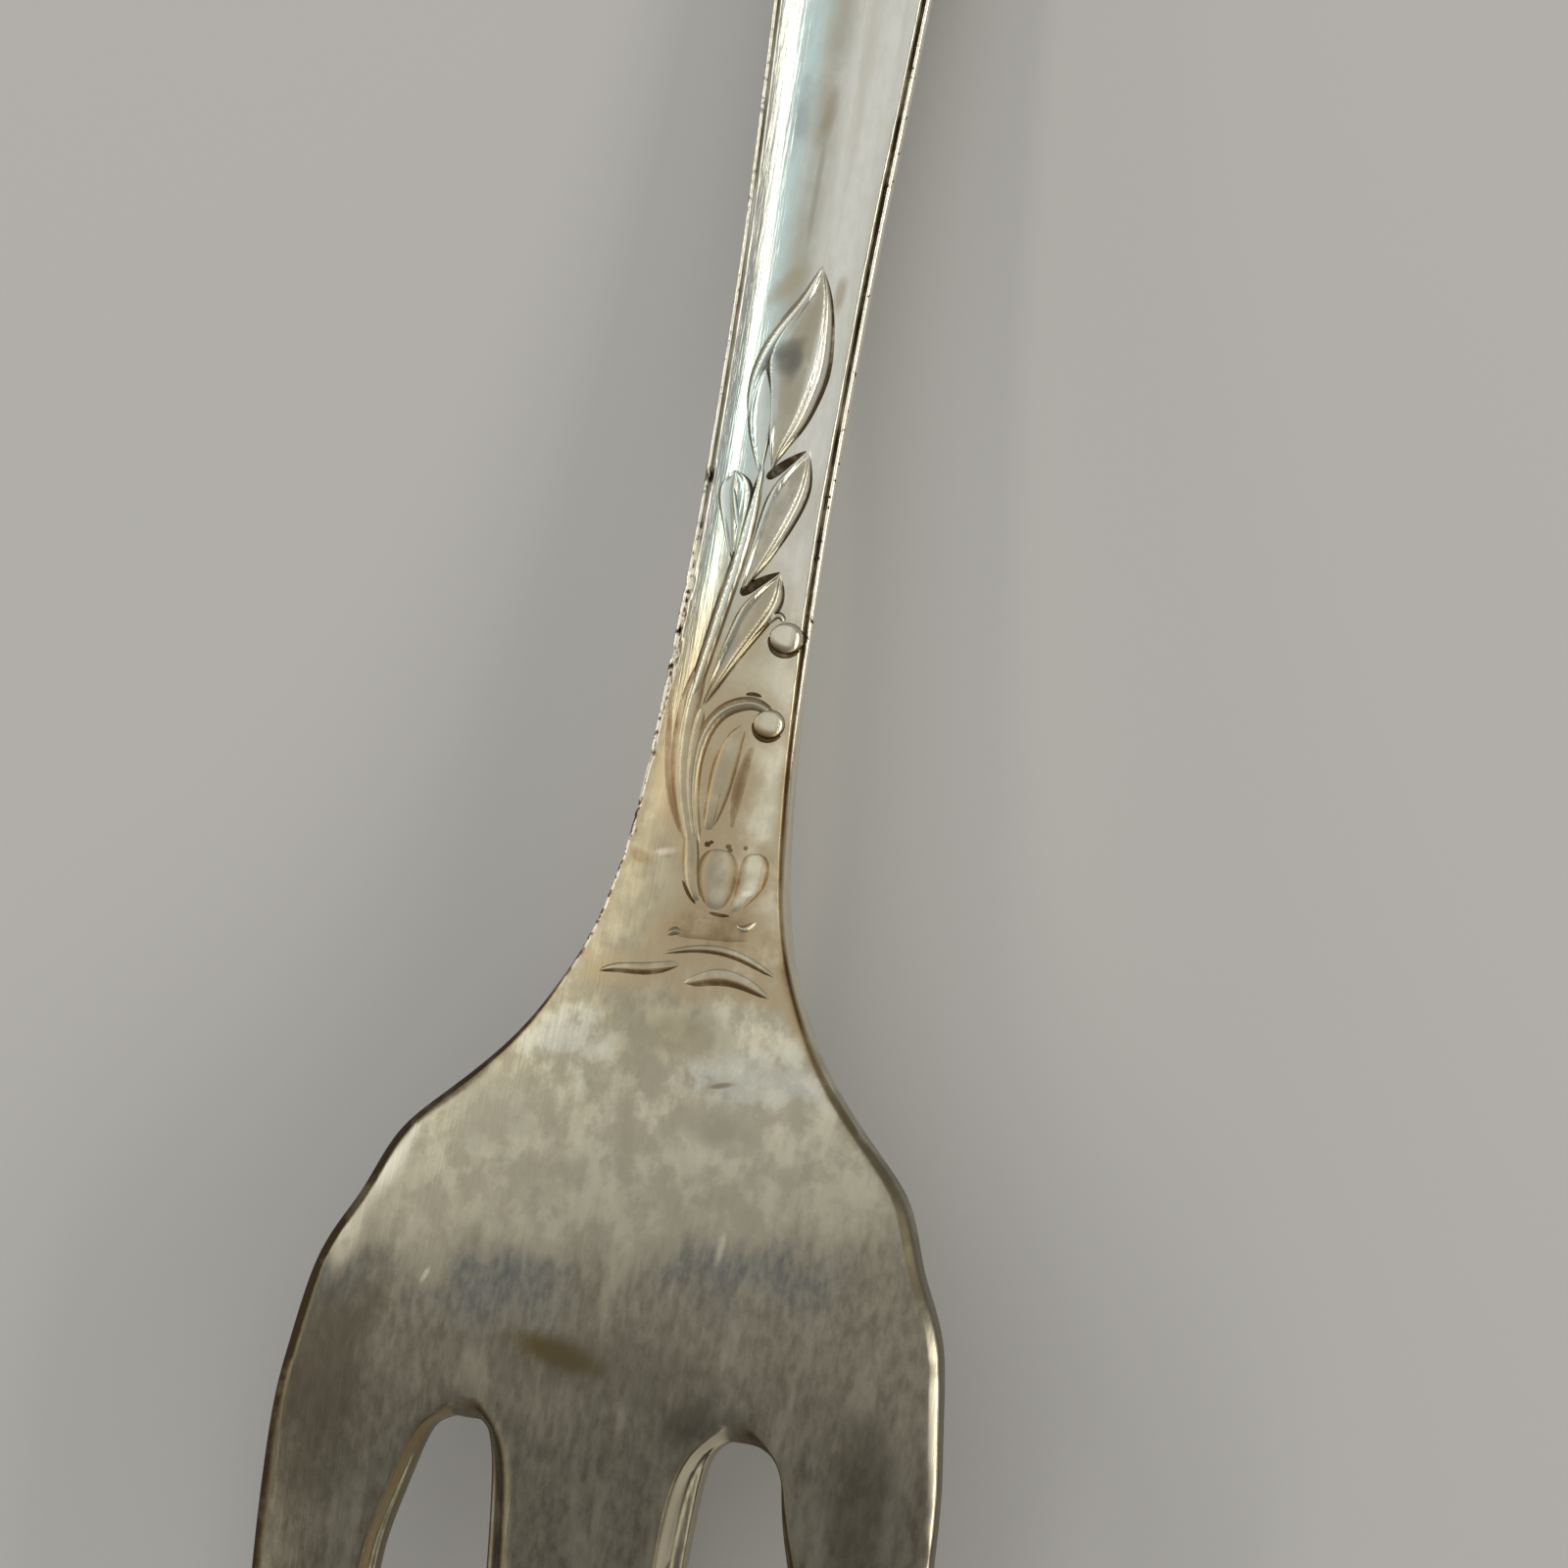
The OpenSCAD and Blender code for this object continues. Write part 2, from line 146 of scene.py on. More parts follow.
forkBody = {  # millimetres, along the fork from the slot roots
    "bellyHeight": 6.4, "neckHeight": 4.5, "endLift": 0.9, "restLength": 20, "lastPlace": 115.9,
    "thickness": [(-26, 0.9), (0, 1.45), (17, 1.75), (38, 1.65), (116, 1.4)],
    "crown": [(-26, 0.3), (0, 0.6), (8, 0.55), (13, 0.42), (116, 0.42)], "tineCrown": 0.16, "crownFade": 6,
    "halfWidth": [(0, 9.2), (3.3, 8.7), (4.9, 7.9), (7, 7.1), (8.6, 5.55), (10.2, 4.22), (11.8, 3.36),
        (13.3, 2.76), (14.9, 2.38), (16.5, 2.18), (19.6, 1.97), (25.9, 1.8), (32.2, 1.87), (40.1, 2.16),
        (105, 4.7), (116, 4.7)],
    "endRound": 11, "endBlunt": 0.1, "endPowers": (2.2, 0.55),
    "outerEdge": [(0, 9.2), (1, 9.31), (2.4, 9.37), (5.5, 9.41), (16.1, 9.05), (26, 7.9)],
    "slotOuter": [(0, 4.25), (0.16, 4.46), (0.4, 4.62), (0.8, 5.0), (1.7, 5.4), (2.6, 5.69), (3.4, 5.95),
        (5.2, 6.4), (8, 6.5), (16.1, 6.75), (26, 6.4)],
    "slotInner": [(0, 3.6), (0.16, 3.38), (0.4, 3.15), (0.9, 2.7), (2, 2.31), (3.6, 2.15), (6, 2.05),
        (26, 0.75)],
    "tipRound": 1.2, "tipFlat": 0.3, "archRise": 0.04, "edgeLoop": 0.09, "loopShare": 0.3, "smoothing": 2,
    "palmSpread": 9, "palmShares": (0.25, 0.5), "handleFrom": 15, "handleBlend": 8, "beadRoom": 0.1,
    "wallFlare": [(-26, 0.15), (-8, 0.27), (0, 0.34), (3.3, 0.32), (8.6, 0.24), (11, 0.16), (14, 0.08),
        (20, 0.05), (116, 0.05)],
    "slotFlare": [(-26, 0.12), (-5.2, 0.34), (-4.1, 0.3), (-2.5, 0.24), (-1.2, 0.12), (-0.4, 0.03), (0, 0)],
    "centreFlare": [(-26, 0.12), (-14, 0.3), (-5.2, 0.66), (-2.5, 0.66), (-1.2, 0.46), (-0.4, 0.16), (0, 0)],
    # each step of the walls: level and share of the flare on the head, level and bead on the handle
    "wallSteps": [(0.94, 0.35, 0.84, 0.045), (0.87, 0.72, 0.98, 0.11), (0.8, 1, 0.9, 0.25),
        (0.45, 1, 0.74, 0.26), (0.1, 1, 0.25, 0.05), (0, 1, 0, -0.1)],
    "columns": 16, "slotColumns": (4, 5, 10, 11), "rowReach": 0.15,
    "tineRows": [-26, -25.75, -25.1, -24, -21.5, -18, -14.5, -11, -8, -6, -4.6, -3.5, -2.6, -1.8, -1.2,
        -0.75, -0.4, -0.16],
    "palmRows": [0, 0.45, 1.2, 2.1, 3, 3.9, 4.8, 5.6, 6.4, 7.2, 8.1, 9, 10, 11, 11.9, 12.8,
        *[13.7 + i for i in range(19)], 32.8, 34, 35.5, 37.5, 40, 43, 47, 52, 58, 65, 73, 81, 89, 96, 101,
        105, 108.5, 111.5, 113.6, 114.9, 115.5, 115.8, 116],
}
slotFiling = {  # the slots were filed by hand and differ a little
    "sag": 0.45, "sagAcross": 1.7, "sagAlong": 1.6,
    "slope": 0.38, "slopeAcross": 0.8, "slopeAlong": 0.7, "slopeTop": 0.85, "slopeFade": 0.4,
    "leftShift": [(0, 0), (0.5, 0.12), (1.2, 0.26), (2, 0.27), (5, 0.25), (10, 0.15), (16, 0)],
    "rightShift": [(0, 0), (0.2, 0.12), (0.6, 0.2), (1.2, 0.14), (2, 0.04), (3, 0), (16, 0)],
    "shiftReach": 0.8, "shiftLength": 16,
    "easing": 24, "easedRoot": 1.5, "easedAbove": 0.2, "easedWall": (0.03, 1.1), "easedLength": 20,
    "easedFade": 6,
}
edgeDirtAndPaintedLight = {  # where dirt, chips, painted shade and painted highlights start along the edges
    "groove": 0.03, "grooveReach": 0.058, "bead": 0.085, "arris": 0.93, "arrisReach": 0.16, "lowWall": 0.82,
    "edgeReach": 0.25, "rimReach": 0.12, "slotTop": 0.3, "highlightFrom": 4.4, "neckFrom": 8, "steep": 0.975,
    "chipsFrom": 11, "chipsTo": 26, "chipsEdge": 0.08,
}


def undersideAt(up):
    b = forkBody
    y = rootY / mm + up
    belly, tip, neck = rootY / mm - 1, tipY / mm, neckY / mm
    restEnd = restEndY / mm
    restStart = restEnd - b["restLength"]
    slope = -2 * b["neckHeight"] / (restStart - neck)
    if y < belly:
        return b["bellyHeight"] * (1 - ((belly - y) / (belly - tip)) ** 2)
    if y < neck:
        t = (y - belly) / (neck - belly)
        return ((1 + 2 * t) * (1 - t) ** 2 * b["bellyHeight"] + t * t * (3 - 2 * t) * b["neckHeight"]
                + t * t * (t - 1) * slope * (neck - belly))
    if y < restStart:
        return b["neckHeight"] * ((restStart - y) / (restStart - neck)) ** 2
    if y < restEnd:
        return 0
    return b["endLift"] * ((y - restEnd) / (endY / mm - restEnd)) ** 2


def halfWidthAt(up):
    b = forkBody
    length = (endY - rootY) / mm
    q = max(0, (up - length + b["endRound"]) / b["endRound"])
    inPower, outPower = b["endPowers"]
    narrowed = b["endBlunt"] + (1 - b["endBlunt"]) * max(0, 1 - q ** inPower) ** outPower
    return smoothCurve(b["halfWidth"], up) * narrowed


def handleShare(up):
    return clamped((up - forkBody["handleFrom"]) / forkBody["handleBlend"])


def edgesAt(up):  # places across half the fork, 2 and 4 are the slot's edges
    b = forkBody
    spread = clamped(up / b["palmSpread"])  # the loops beside the slots spread out over the palm
    if up >= 0:
        half = halfWidthAt(up)
        first = b["halfWidth"][0][1]
        innerShare, outerShare = b["palmShares"]
        inner = (b["slotInner"][0][1] / first * (1 - spread) + innerShare * spread) * half
        outer = (b["slotOuter"][0][1] / first * (1 - spread) + outerShare * spread) * half
        outside, keep = half - b["beadRoom"] * handleShare(up), 1
    else:
        length = (rootY - tipY) / mm
        inner = smoothCurve(b["slotInner"], -up)
        outer = smoothCurve(b["slotOuter"], -up)
        outside = smoothCurve(b["outerEdge"], -up)
        q = max(0, (-up - length + b["tipRound"]) / b["tipRound"])
        keep = b["tipFlat"] + (1 - b["tipFlat"]) * math.sqrt(max(0, 1 - q * q))
    inner *= keep
    middle = (outer + outside) / 2
    outer, outside = middle + (outer - middle) * keep, middle + (outside - middle) * keep
    near = min(b["edgeLoop"], b["loopShare"] * inner, b["loopShare"] * (outside - middle))
    return [0, (inner - near) * (1 - spread) + inner / 2 * spread, inner, (inner + outer) / 2, outer,
            (outer + near) * (1 - spread) + (outer + middle) / 2 * spread, middle, outside - near, outside]


def backAt(up, k, edges):  # height of the back at one of those places
    b = forkBody
    drop = smoothCurve(b["crown"], up) * (edges[k] / edges[8]) ** 2
    if up < 0:  # each tine gains a rounded back of its own
        own = edges[k] / edges[2] if k < 3 else (edges[k] - edges[6]) / (edges[8] - edges[6])
        drop += b["tineCrown"] * own * own * min(1, -up / b["crownFade"])
    return undersideAt(up) + smoothCurve(b["thickness"], up) - drop


def flaresAt(up, share, bead):  # how far the walls stand out at those places
    b = forkBody
    wall = (1 - handleShare(up)) * smoothCurve(b["wallFlare"], up) * share + handleShare(up) * bead
    slot = smoothCurve(b["slotFlare"], up) * share if up < 0 else 0
    centre = smoothCurve(b["centreFlare"], up) * share if up < 0 else 0
    return [0, centre, centre, 0, -slot, -slot, 0, wall, wall]


def lowerWalls(sheet, rows, before, after):  # one step of the walls, levelled row by row
    bpy.ops.mesh.extrude_region_move(TRANSFORM_OT_translate={"value": (0, 0, -0.5 * mm)})
    bpy.ops.mesh.select_mode(type='VERT')
    mesh = bmesh.from_edit_mesh(sheet.data)
    below = [(v.index, v.co.y) for v in mesh.verts if v.select]
    for up in rows:
        inRow = [i for i, y in below if -tiny < y - rootY - up * mm < forkBody["rowReach"] * mm]
        edges = edgesAt(up)
        under = undersideAt(up)
        level = (1 - handleShare(up)) * after[0] + handleShare(up) * after[2]
        high = (under + level * (backAt(up, 8, edges) - under)) * mm
        pickVerts(sheet, lambda mesh: [mesh.verts[i] for i in inRow])
        resize((1, 1, 0), (0, 0, high))
        flares = zip(edges, flaresAt(up, before[1], before[3]), flaresAt(up, after[1], after[3]))
        for place, old, new in flares:
            if new != old:
                wall = (place + old) * mm
                pickVerts(sheet, lambda mesh: [mesh.verts[i] for i in inRow
                                               if abs(abs(mesh.verts[i].co.x) - wall) < tiny])
                wider = (place + new) / (place + old)
                resize((wider, 1, 1))
    pickVerts(sheet, lambda mesh: [mesh.verts[i] for i, y in below])
    bpy.ops.mesh.select_mode(type='FACE')


def placeAlong(v):  # from the slot roots, kept inside the curves
    return min(forkBody["lastPlace"], max(forkBody["tineRows"][0], (v.co.y - rootY) / mm))


def handleDirtAndPaintedLight(v, level, beyond, steep, chance):
    # dirt and painted shade in the groove beside the arris, a painted highlight on the bead, a little dirt on
    # the walls
    d = edgeDirtAndPaintedLight
    groove = 0
    if level > 0.75:
        groove = max(0, 1.15 - abs(beyond - d["groove"]) / d["grooveReach"]) * (1 + 0.9 * chance)
    if v.co.x < 0:
        groove *= 0.55
    if groove > 0.2:
        return min(1, groove)
    if beyond > d["bead"] and level > 0.5:
        return -0.9 if v.co.x > 0 else -0.3
    return 0.2 * steep


def slotDirtAndPaintedLight(v, up, edges, lowWall, steep):  # the walls of the slots are painted paler where they face right, a painted highlight, and darker where they face left, painted shade, with a dark line along the top rims
    right = max(0, v.normal.x) * (0.75 if v.co.x < 0 else 0.95)
    dirtAndShade = 0.9 * max(0, -v.normal.x) + 0.3 * (1 - abs(v.normal.x)) - right * (1 - 0.6 * lowWall)
    if v.normal.z > 0.6 and up < 0:
        x = abs(v.co.x) / mm
        rim = min(abs(x - edges[2]), abs(x - edges[4]))
        return max(steep * dirtAndShade, 0.6 * max(0, 1 - rim / edgeDirtAndPaintedLight["rimReach"]))
    return steep * dirtAndShade


def headDirtAndPaintedLight(v, up, level, beyond, lowWall, steep, chance):
    d = edgeDirtAndPaintedLight
    nearEdge = clamped(1.6 + beyond / d["edgeReach"])
    arris = max(0, 1 - abs(level - d["arris"]) / d["arrisReach"])
    if v.co.x <= 0:
        return max(0.95 * steep * nearEdge, 0.8 * arris if beyond > -0.05 else 0)
    # painted highlight: the upper part of the right wall near the tines is painted bright
    paintedHighlight = clamped((d["highlightFrom"] - up) / 2) * clamped(0.9 + 1.6 * chance)
    paintedHighlight *= clamped((0.955 - v.normal.z) / 0.08)
    onPalm = steep * nearEdge * (0.3 * lowWall + (0.34 - 1.3 * paintedHighlight) * (1 - lowWall))
    # on the neck a dark line along the arris, dirt and painted shade, and below it the wall painted bright as
    # a highlight
    onNeck = arris * (0.85 + 0.4 * chance) if arris > 0 else -0.5 * steep
    share = clamped((up - d["neckFrom"]) / 4)
    return onPalm * (1 - share) + onNeck * share


def bodyDirtAndPaintedLight(v):  # dirt and painted shade along the edges; below zero the metal is painted bright as a highlight
    d = edgeDirtAndPaintedLight
    up = placeAlong(v)
    edges = edgesAt(up)
    under = undersideAt(up)
    level = (v.co.z / mm - under) / (backAt(up, 8, edges) - under)
    beyond = abs(v.co.x) / mm - edges[8]
    neck = clamped((up - d["neckFrom"]) / 3)  # the neck is rounder than the head
    steep = clamped((d["steep"] - 0.025 * neck - abs(v.normal.z)) / (0.06 + 0.07 * neck))
    chance = noise.noise(Vector((v.co.x * 300, v.co.y * 900, 1.7)))
    lowWall = clamped((d["lowWall"] - level) / 0.08)
    if up < d["slotTop"] and abs(v.co.x) / mm < edges[6]:
        onHead = slotDirtAndPaintedLight(v, up, edges, lowWall, steep)
    else:
        onHead = headDirtAndPaintedLight(v, up, level, beyond, lowWall, steep, chance)
    onHandle = handleDirtAndPaintedLight(v, level, beyond, steep, chance)
    return handleShare(up) * onHandle + (1 - handleShare(up)) * onHead


def edgeRub(v):  # the handle's bead and the left edge of the neck are chipped
    d = edgeDirtAndPaintedLight
    up = placeAlong(v)
    beyond = abs(v.co.x) / mm - edgesAt(up)[8]
    if v.normal.z < 0.3 or beyond < -d["chipsEdge"]:
        return 0
    onBead = handleShare(up) * (1 if v.co.x > 0 else 0.5) if beyond > d["chipsEdge"] else 0
    onNeck = clamped((up - d["chipsFrom"]) / 3) * clamped((d["chipsTo"] - up) / 2) if v.co.x < 0 else 0
    return max(onBead, onNeck)


def fileSlots(sheet):
    b, s = forkBody, slotFiling
    slotMiddle = (b["slotOuter"][0][1] + b["slotInner"][0][1]) / 2
    for v in sheet.data.vertices:  # the roots slope, the left one is lower, the edges wander
        x, up = v.co.x / mm, (v.co.y - rootY) / mm
        away = abs(x) - slotMiddle
        high = (v.co.z / mm - undersideAt(up)) / smoothCurve(b["thickness"], 0)
        low = clamped((s["slopeTop"] - high) / s["slopeFade"])
        slope = math.exp(-(away / s["slopeAcross"]) ** 2 - (up / s["slopeAlong"]) ** 2)
        v.co.y -= s["slope"] * mm * low * slope
        if x < 0:
            v.co.y -= s["sag"] * mm * math.exp(-(away / s["sagAcross"]) ** 2 - (up / s["sagAlong"]) ** 2)
        if up < 0:
            side, shift = ("slotInner", "leftShift") if x < 0 else ("slotOuter", "rightShift")
            gap = abs(x) - smoothCurve(b[side], -up)
            push = smoothCurve(s[shift], min(s["shiftLength"], -up)) * math.exp(-(gap / s["shiftReach"]) ** 2)
            v.co.x += math.copysign(push, x) * mm
    filed = sheet.vertex_groups.new(name="filed")
    for v in sheet.data.vertices:  # ease the arches and the centre tine's walls
        x, up = abs(v.co.x) / mm, (v.co.y - rootY) / mm
        ease = 1 - (math.hypot(x - slotMiddle, up + s["easedAbove"]) / s["easedRoot"]) ** 2
        nearest, furthest = s["easedWall"]
        if -s["easedLength"] < up < 0 and nearest < x - smoothCurve(b["slotInner"], -up) < furthest:
            ease = max(ease, min(1, (s["easedLength"] + up) / s["easedFade"]))
        if ease > 0:
            filed.add([v.index], ease, 'REPLACE')
    applyModifier(sheet, 'SMOOTH', factor=0.5, iterations=s["easing"], vertex_group="filed")
    sheet.vertex_groups.clear()


def buildBody():
    b = forkBody
    rows = b["tineRows"] + b["palmRows"]
    columns = b["columns"]
    half = columns // 2
    sheet = addSheet("fork_body", columns, len(rows) - 1)
    for r, up in enumerate(rows):
        startY = -1 + 2 * r / (len(rows) - 1)
        edges = edgesAt(up)
        middle = r * (columns + 1) + half
        for k, place in enumerate(edges):
            pickVerts(sheet, lambda mesh: [mesh.verts[i] for i in (middle + k, middle - k)])
            if k:
                resize((place * mm / (k / half), 1, 1))
            arch = b["archRise"] if up == 0 and k == 3 else 0
            moved = (0, rootY + (up + arch) * mm - startY, backAt(up, k, edges) * mm)
            bpy.ops.transform.translate(value=moved)
    bpy.ops.mesh.select_mode(type='FACE')  # open the two slots
    mesh = bmesh.from_edit_mesh(sheet.data)
    for f in mesh.faces:
        row, column = f.index // columns, f.index % columns
        f.select = column in b["slotColumns"] and row < len(b["tineRows"])
    bmesh.update_edit_mesh(sheet.data)
    bpy.ops.mesh.delete(type='FACE')
    bpy.ops.mesh.select_all(action='SELECT')  # take the walls down to the flat underside
    before = (1, 0, 1, 0)
    for step in b["wallSteps"]:
        lowerWalls(sheet, rows, before, step)
        before = step
    bpy.ops.mesh.select_all(action='SELECT')
    bpy.ops.mesh.normals_make_consistent(inside=False)
    setMode('OBJECT')
    applyModifier(sheet, 'SUBSURF', levels=b["smoothing"], render_levels=b["smoothing"])
    bpy.ops.object.shade_smooth()
    # dirt and painted shade above zero, painted highlights below zero
    dirtAndPaintedLight = sheet.data.attributes.new("dirtAndPaintedLight", 'FLOAT', 'POINT')
    rub = sheet.data.attributes.new("rub", 'FLOAT', 'POINT')
    for i, v in enumerate(sheet.data.vertices):
        dirtAndPaintedLight.data[i].value = bodyDirtAndPaintedLight(v)
        rub.data[i].value = edgeRub(v)
    fileSlots(sheet)
    print("body shaped,", len(sheet.data.polygons), "faces")
    return sheet


body = buildBody()
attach(body, "root")
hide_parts("tine_left", "tine_centre", "tine_right", "palm", "neck", "shank", "handle", "handle_end")
ground = BVHTree.FromObject(body, bpy.context.evaluated_depsgraph_get())


def sidesOf(path, widths):  # left and right edge of a ridge along a path
    left, right = [], []
    for i, (x, y) in enumerate(path):
        a, b = Vector(path[max(0, i - 1)]), Vector(path[min(len(path) - 1, i + 1)])
        along = (b - a).normalized()
        left.append((x - along.y * widths[i], y + along.x * widths[i]))
        right.append((x + along.y * widths[i], y - along.x * widths[i]))
    return left, right


def stretched(points, share):  # smoothing draws the ends in, so they start further out
    first, second = Vector(points[0]), Vector(points[1])
    last, before = Vector(points[-1]), Vector(points[-2])
    inside = [Vector(p) for p in points[1:-1]]
    return [first + (first - second) * share] + inside + [last + (last - before) * share]


stripForm = {"stretch": 0.3, "depth": 0.25, "smoothing": 2}


def addStrip(left, right, profile, rise):  # a closed strip of relief, flat below
    left = stretched(left, stripForm["stretch"])
    right = stretched(right, stripForm["stretch"])
    columns, rows = len(profile), len(left)
    sheet = addSheet("strip", columns - 1, rows - 1)
    for c, (across, high, dirtAndShade) in enumerate(profile):
        pickVerts(sheet, lambda mesh: [mesh.verts[r * columns + c] for r in range(rows)])
        bpy.ops.transform.translate(value=(across + 1 - 2 * c / (columns - 1), 0, high * mm))
    for r in range(rows):
        a, b = Vector(left[r]) * mm, Vector(right[r]) * mm
        startY = -1 + 2 * r / (rows - 1)
        pickVerts(sheet, lambda mesh: [mesh.verts[r * columns + c] for c in range(columns)])
        resize(((b - a).length / 2, 1, rise[r]), (0, startY, 0))
        bpy.ops.transform.rotate(value=-math.atan2(b.y - a.y, b.x - a.x), orient_axis='Z',
                                 center_override=(0, startY, 0))
        bpy.ops.transform.translate(value=((a.x + b.x) / 2, (a.y + b.y) / 2 - startY, 0))
    setMode('OBJECT')
    # dirt, painted shade and painted highlights from the profile
    dirtAndPaintedLight = sheet.data.attributes.new("dirtAndPaintedLight", 'FLOAT', 'POINT')
    for i in range(rows * columns):
        dirtAndPaintedLight.data[i].value = profile[i % columns][2]
    setMode('EDIT')
    bpy.ops.mesh.select_all(action='SELECT')
    bpy.ops.mesh.extrude_region_move(TRANSFORM_OT_translate={"value": (0, 0, -2 * mm)})
    resize((1, 1, 0), (0, 0, -stripForm["depth"] * mm))
    bpy.ops.mesh.select_all(action='SELECT')
    bpy.ops.mesh.normals_make_consistent(inside=False)
    setMode('OBJECT')
    applyModifier(sheet, 'SUBSURF', levels=stripForm["smoothing"], render_levels=stripForm["smoothing"])
    bpy.ops.object.shade_smooth()
    return sheet


def seatOnBack(name, parts, *nodes):  # join the strips, drop them on the back of the fork
    pickPieces(*parts)
    if len(parts) > 1:
        bpy.ops.object.join()
    piece = bpy.context.object
    piece.name = name
    for v in piece.data.vertices:
        v.co.z += ground.ray_cast(Vector((v.co.x, v.co.y, 0.05)), Vector((0, 0, -1)))[0].z
    piece["onBack"] = True
    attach(piece, "root")
    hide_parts(*nodes)
    print(name, "seated,", len(piece.data.polygons), "faces")


# each profile: place across the piece, height in millimetres, dirt and painted light: above zero dirt in the
# creases with painted shade at the feet of the rims, below zero the rims painted bright as a highlight
hollowLeaf = [(-1.5, -0.2, 0.05), (-1.14, 0, 0.25), (-1.03, 0.02, 0.75), (-0.92, 0.12, -0.1),
    (-0.78, 0.11, -0.1), (-0.5, 0.03, 0.28), (-0.1, 0.01, 0.36), (0.35, 0.02, 0.32), (0.62, 0.09, 0),
    (0.74, 0.2, -0.3), (0.82, 0.23, -0.7), (0.93, 0.16, -0.8), (1, 0.09, -0.2), (1.05, 0.015, 1),
    (1.17, 0, 0.9), (1.3, -0.02, 0.35), (1.6, -0.2, 0.05)]
loopLeaf = [(-1.4, -0.2, 0.08), (-1.15, 0, 0.3), (-1.04, 0.02, 0.85), (-0.95, 0.13, 0), (-0.82, 0.15, -0.6),
    (-0.6, 0.06, -0.2), (-0.3, 0.01, 0.35), (0.1, 0.01, 0.2), (0.5, 0.06, -0.1), (0.8, 0.15, -0.6),
    (0.93, 0.13, 0), (1.02, 0.02, 0.85), (1.15, 0, 0.4), (1.4, -0.2, 0.08)]
roundRidge = [(-2.7, -0.2, 0.15), (-2.1, 0, 0.4), (-1.35, 0.015, 0.78), (-0.8, 0.1, 0.05), (0, 0.16, -0.5),
    (0.8, 0.1, 0.05), (1.35, 0.015, 0.82), (2.1, 0, 0.46), (2.7, -0.2, 0.15)]
softRidge = [(-2.8, -0.2, 0.15), (-2.1, 0, 0.5), (-1.6, 0.01, 0.68), (-1.05, 0.03, 0.5), (-0.5, 0.07, 0.05),
    (0, 0.08, -0.1), (0.5, 0.07, 0.05), (1.05, 0.03, 0.5), (1.6, 0.01, 0.7), (2.1, 0, 0.5),
    (2.8, -0.2, 0.15)]
pressedRim = [(-2.4, -0.2, 0.1), (-1.8, 0, 0.3), (-1.2, 0.015, 0.55), (-0.7, 0.1, 0), (0, 0.15, -0.5),
    (0.7, 0.1, 0), (1.2, 0.015, 0.5), (1.8, 0, 0.2), (2.4, -0.2, 0.05)]
puffedLobe = [(-1.4, -0.2, 0.1), (-1.15, 0, 0.4), (-1.02, 0.02, 0.75), (-0.8, 0.09, 0), (0, 0.13, -0.3),
    (0.8, 0.09, 0), (1.02, 0.02, 0.75), (1.15, 0, 0.4), (1.4, -0.2, 0.1)]
wornLobe = [(-1.5, -0.2, 0.2), (-1.3, 0, 0.52), (-1.02, 0.02, 0.66), (-0.75, 0.06, 0.34),
    (-0.35, 0.085, 0.05), (0.35, 0.085, 0), (0.75, 0.06, 0.3), (1.02, 0.02, 0.68), (1.3, 0, 0.54),
    (1.5, -0.2, 0.2)]
brownCrease = [(-1.8, -0.15, 0.15), (-1.2, 0.01, 0.38), (-0.5, 0.014, 0.54), (0, 0.016, 0.6),
    (0.5, 0.014, 0.54), (1.2, 0.01, 0.38), (1.8, -0.15, 0.15)]
footPad = [(-1.5, -0.2, 0.35), (-1.1, 0, 0.44), (-0.9, 0.015, 0.5), (-0.5, 0.03, 0.5), (0, 0.03, 0.55),
    (0.5, 0.03, 0.5), (0.9, 0.015, 0.52), (1.1, 0, 0.44), (1.5, -0.2, 0.35)]
# the bands are darker on their lower side: painted shade over brown dirt in the line
lappedLobe = [(-1.5, -0.2, 0.1), (-1.05, 0, 0.16), (-0.6, 0.03, 0.08), (0, 0.05, 0.12), (0.35, 0.055, 0.36),
    (0.6, 0.04, 0.6), (0.9, 0.01, 0.8), (1.4, 0, 0.76), (1.75, -0.01, 0.5), (2.1, -0.2, 0.2)]
brownDot = [(-1.8, -0.15, 0.25), (-1.1, 0.01, 0.6), (0, 0.02, 0.85), (1.1, 0.01, 0.6), (1.8, -0.15, 0.25)]
# painted shadow and dirt: a flat dark sliver laid where a slit or pit lies in shade
shadowAndDirtSliver = [(-1.8, -0.15, 0.5), (-1.1, 0.025, 1), (0, 0.035, 1), (1.1, 0.025, 1), (1.8, -0.15, 0.5)]


def addRidge(path, widths, height, profile=roundRidge):
    rise = [height] * len(path)
    rise[0] = rise[-1] = height * 0.5
    left, right = sidesOf(path, widths)
    return addStrip(left, right, profile, rise)


topLeaf = {
    "left": [(0.12, -17.97), (-0.05, -17.32), (-0.14, -16.61), (-0.24, -15.89), (-0.37, -15.32),
        (-0.51, -14.9), (-0.43, -14.31), (-0.15, -13.7), (0.19, -13.14), (0.45, -12.64), (0.57, -12.02)],
    "right": [(0.18, -17.96), (0.4, -17.44), (0.68, -16.94), (0.9, -16.42), (1.05, -15.81), (1.16, -15.28),
        (1.2, -14.69), (1.16, -13.97), (1.07, -13.2), (0.91, -12.55), (0.65, -12.0)],
    "rise": [0.5, 1, 1, 1, 1, 0.9, 0.85, 0.85, 0.8, 0.7, 0.4],
    "rim": [(0.57, -12.02), (0.37, -12.86), (-0.09, -13.58), (-0.45, -14.23), (-0.68, -14.77),
        (-0.83, -15.31), (-0.88, -15.86), (-0.82, -16.53)],
    "rimWidth": [0.05, 0.12, 0.16, 0.16, 0.14, 0.12, 0.09, 0.04],
}
seatOnBack("leaf_top", [
    addStrip(topLeaf["left"], topLeaf["right"], hollowLeaf, topLeaf["rise"]),
    addRidge(topLeaf["rim"], topLeaf["rimWidth"], 0.8, pressedRim)], "top_leaf")

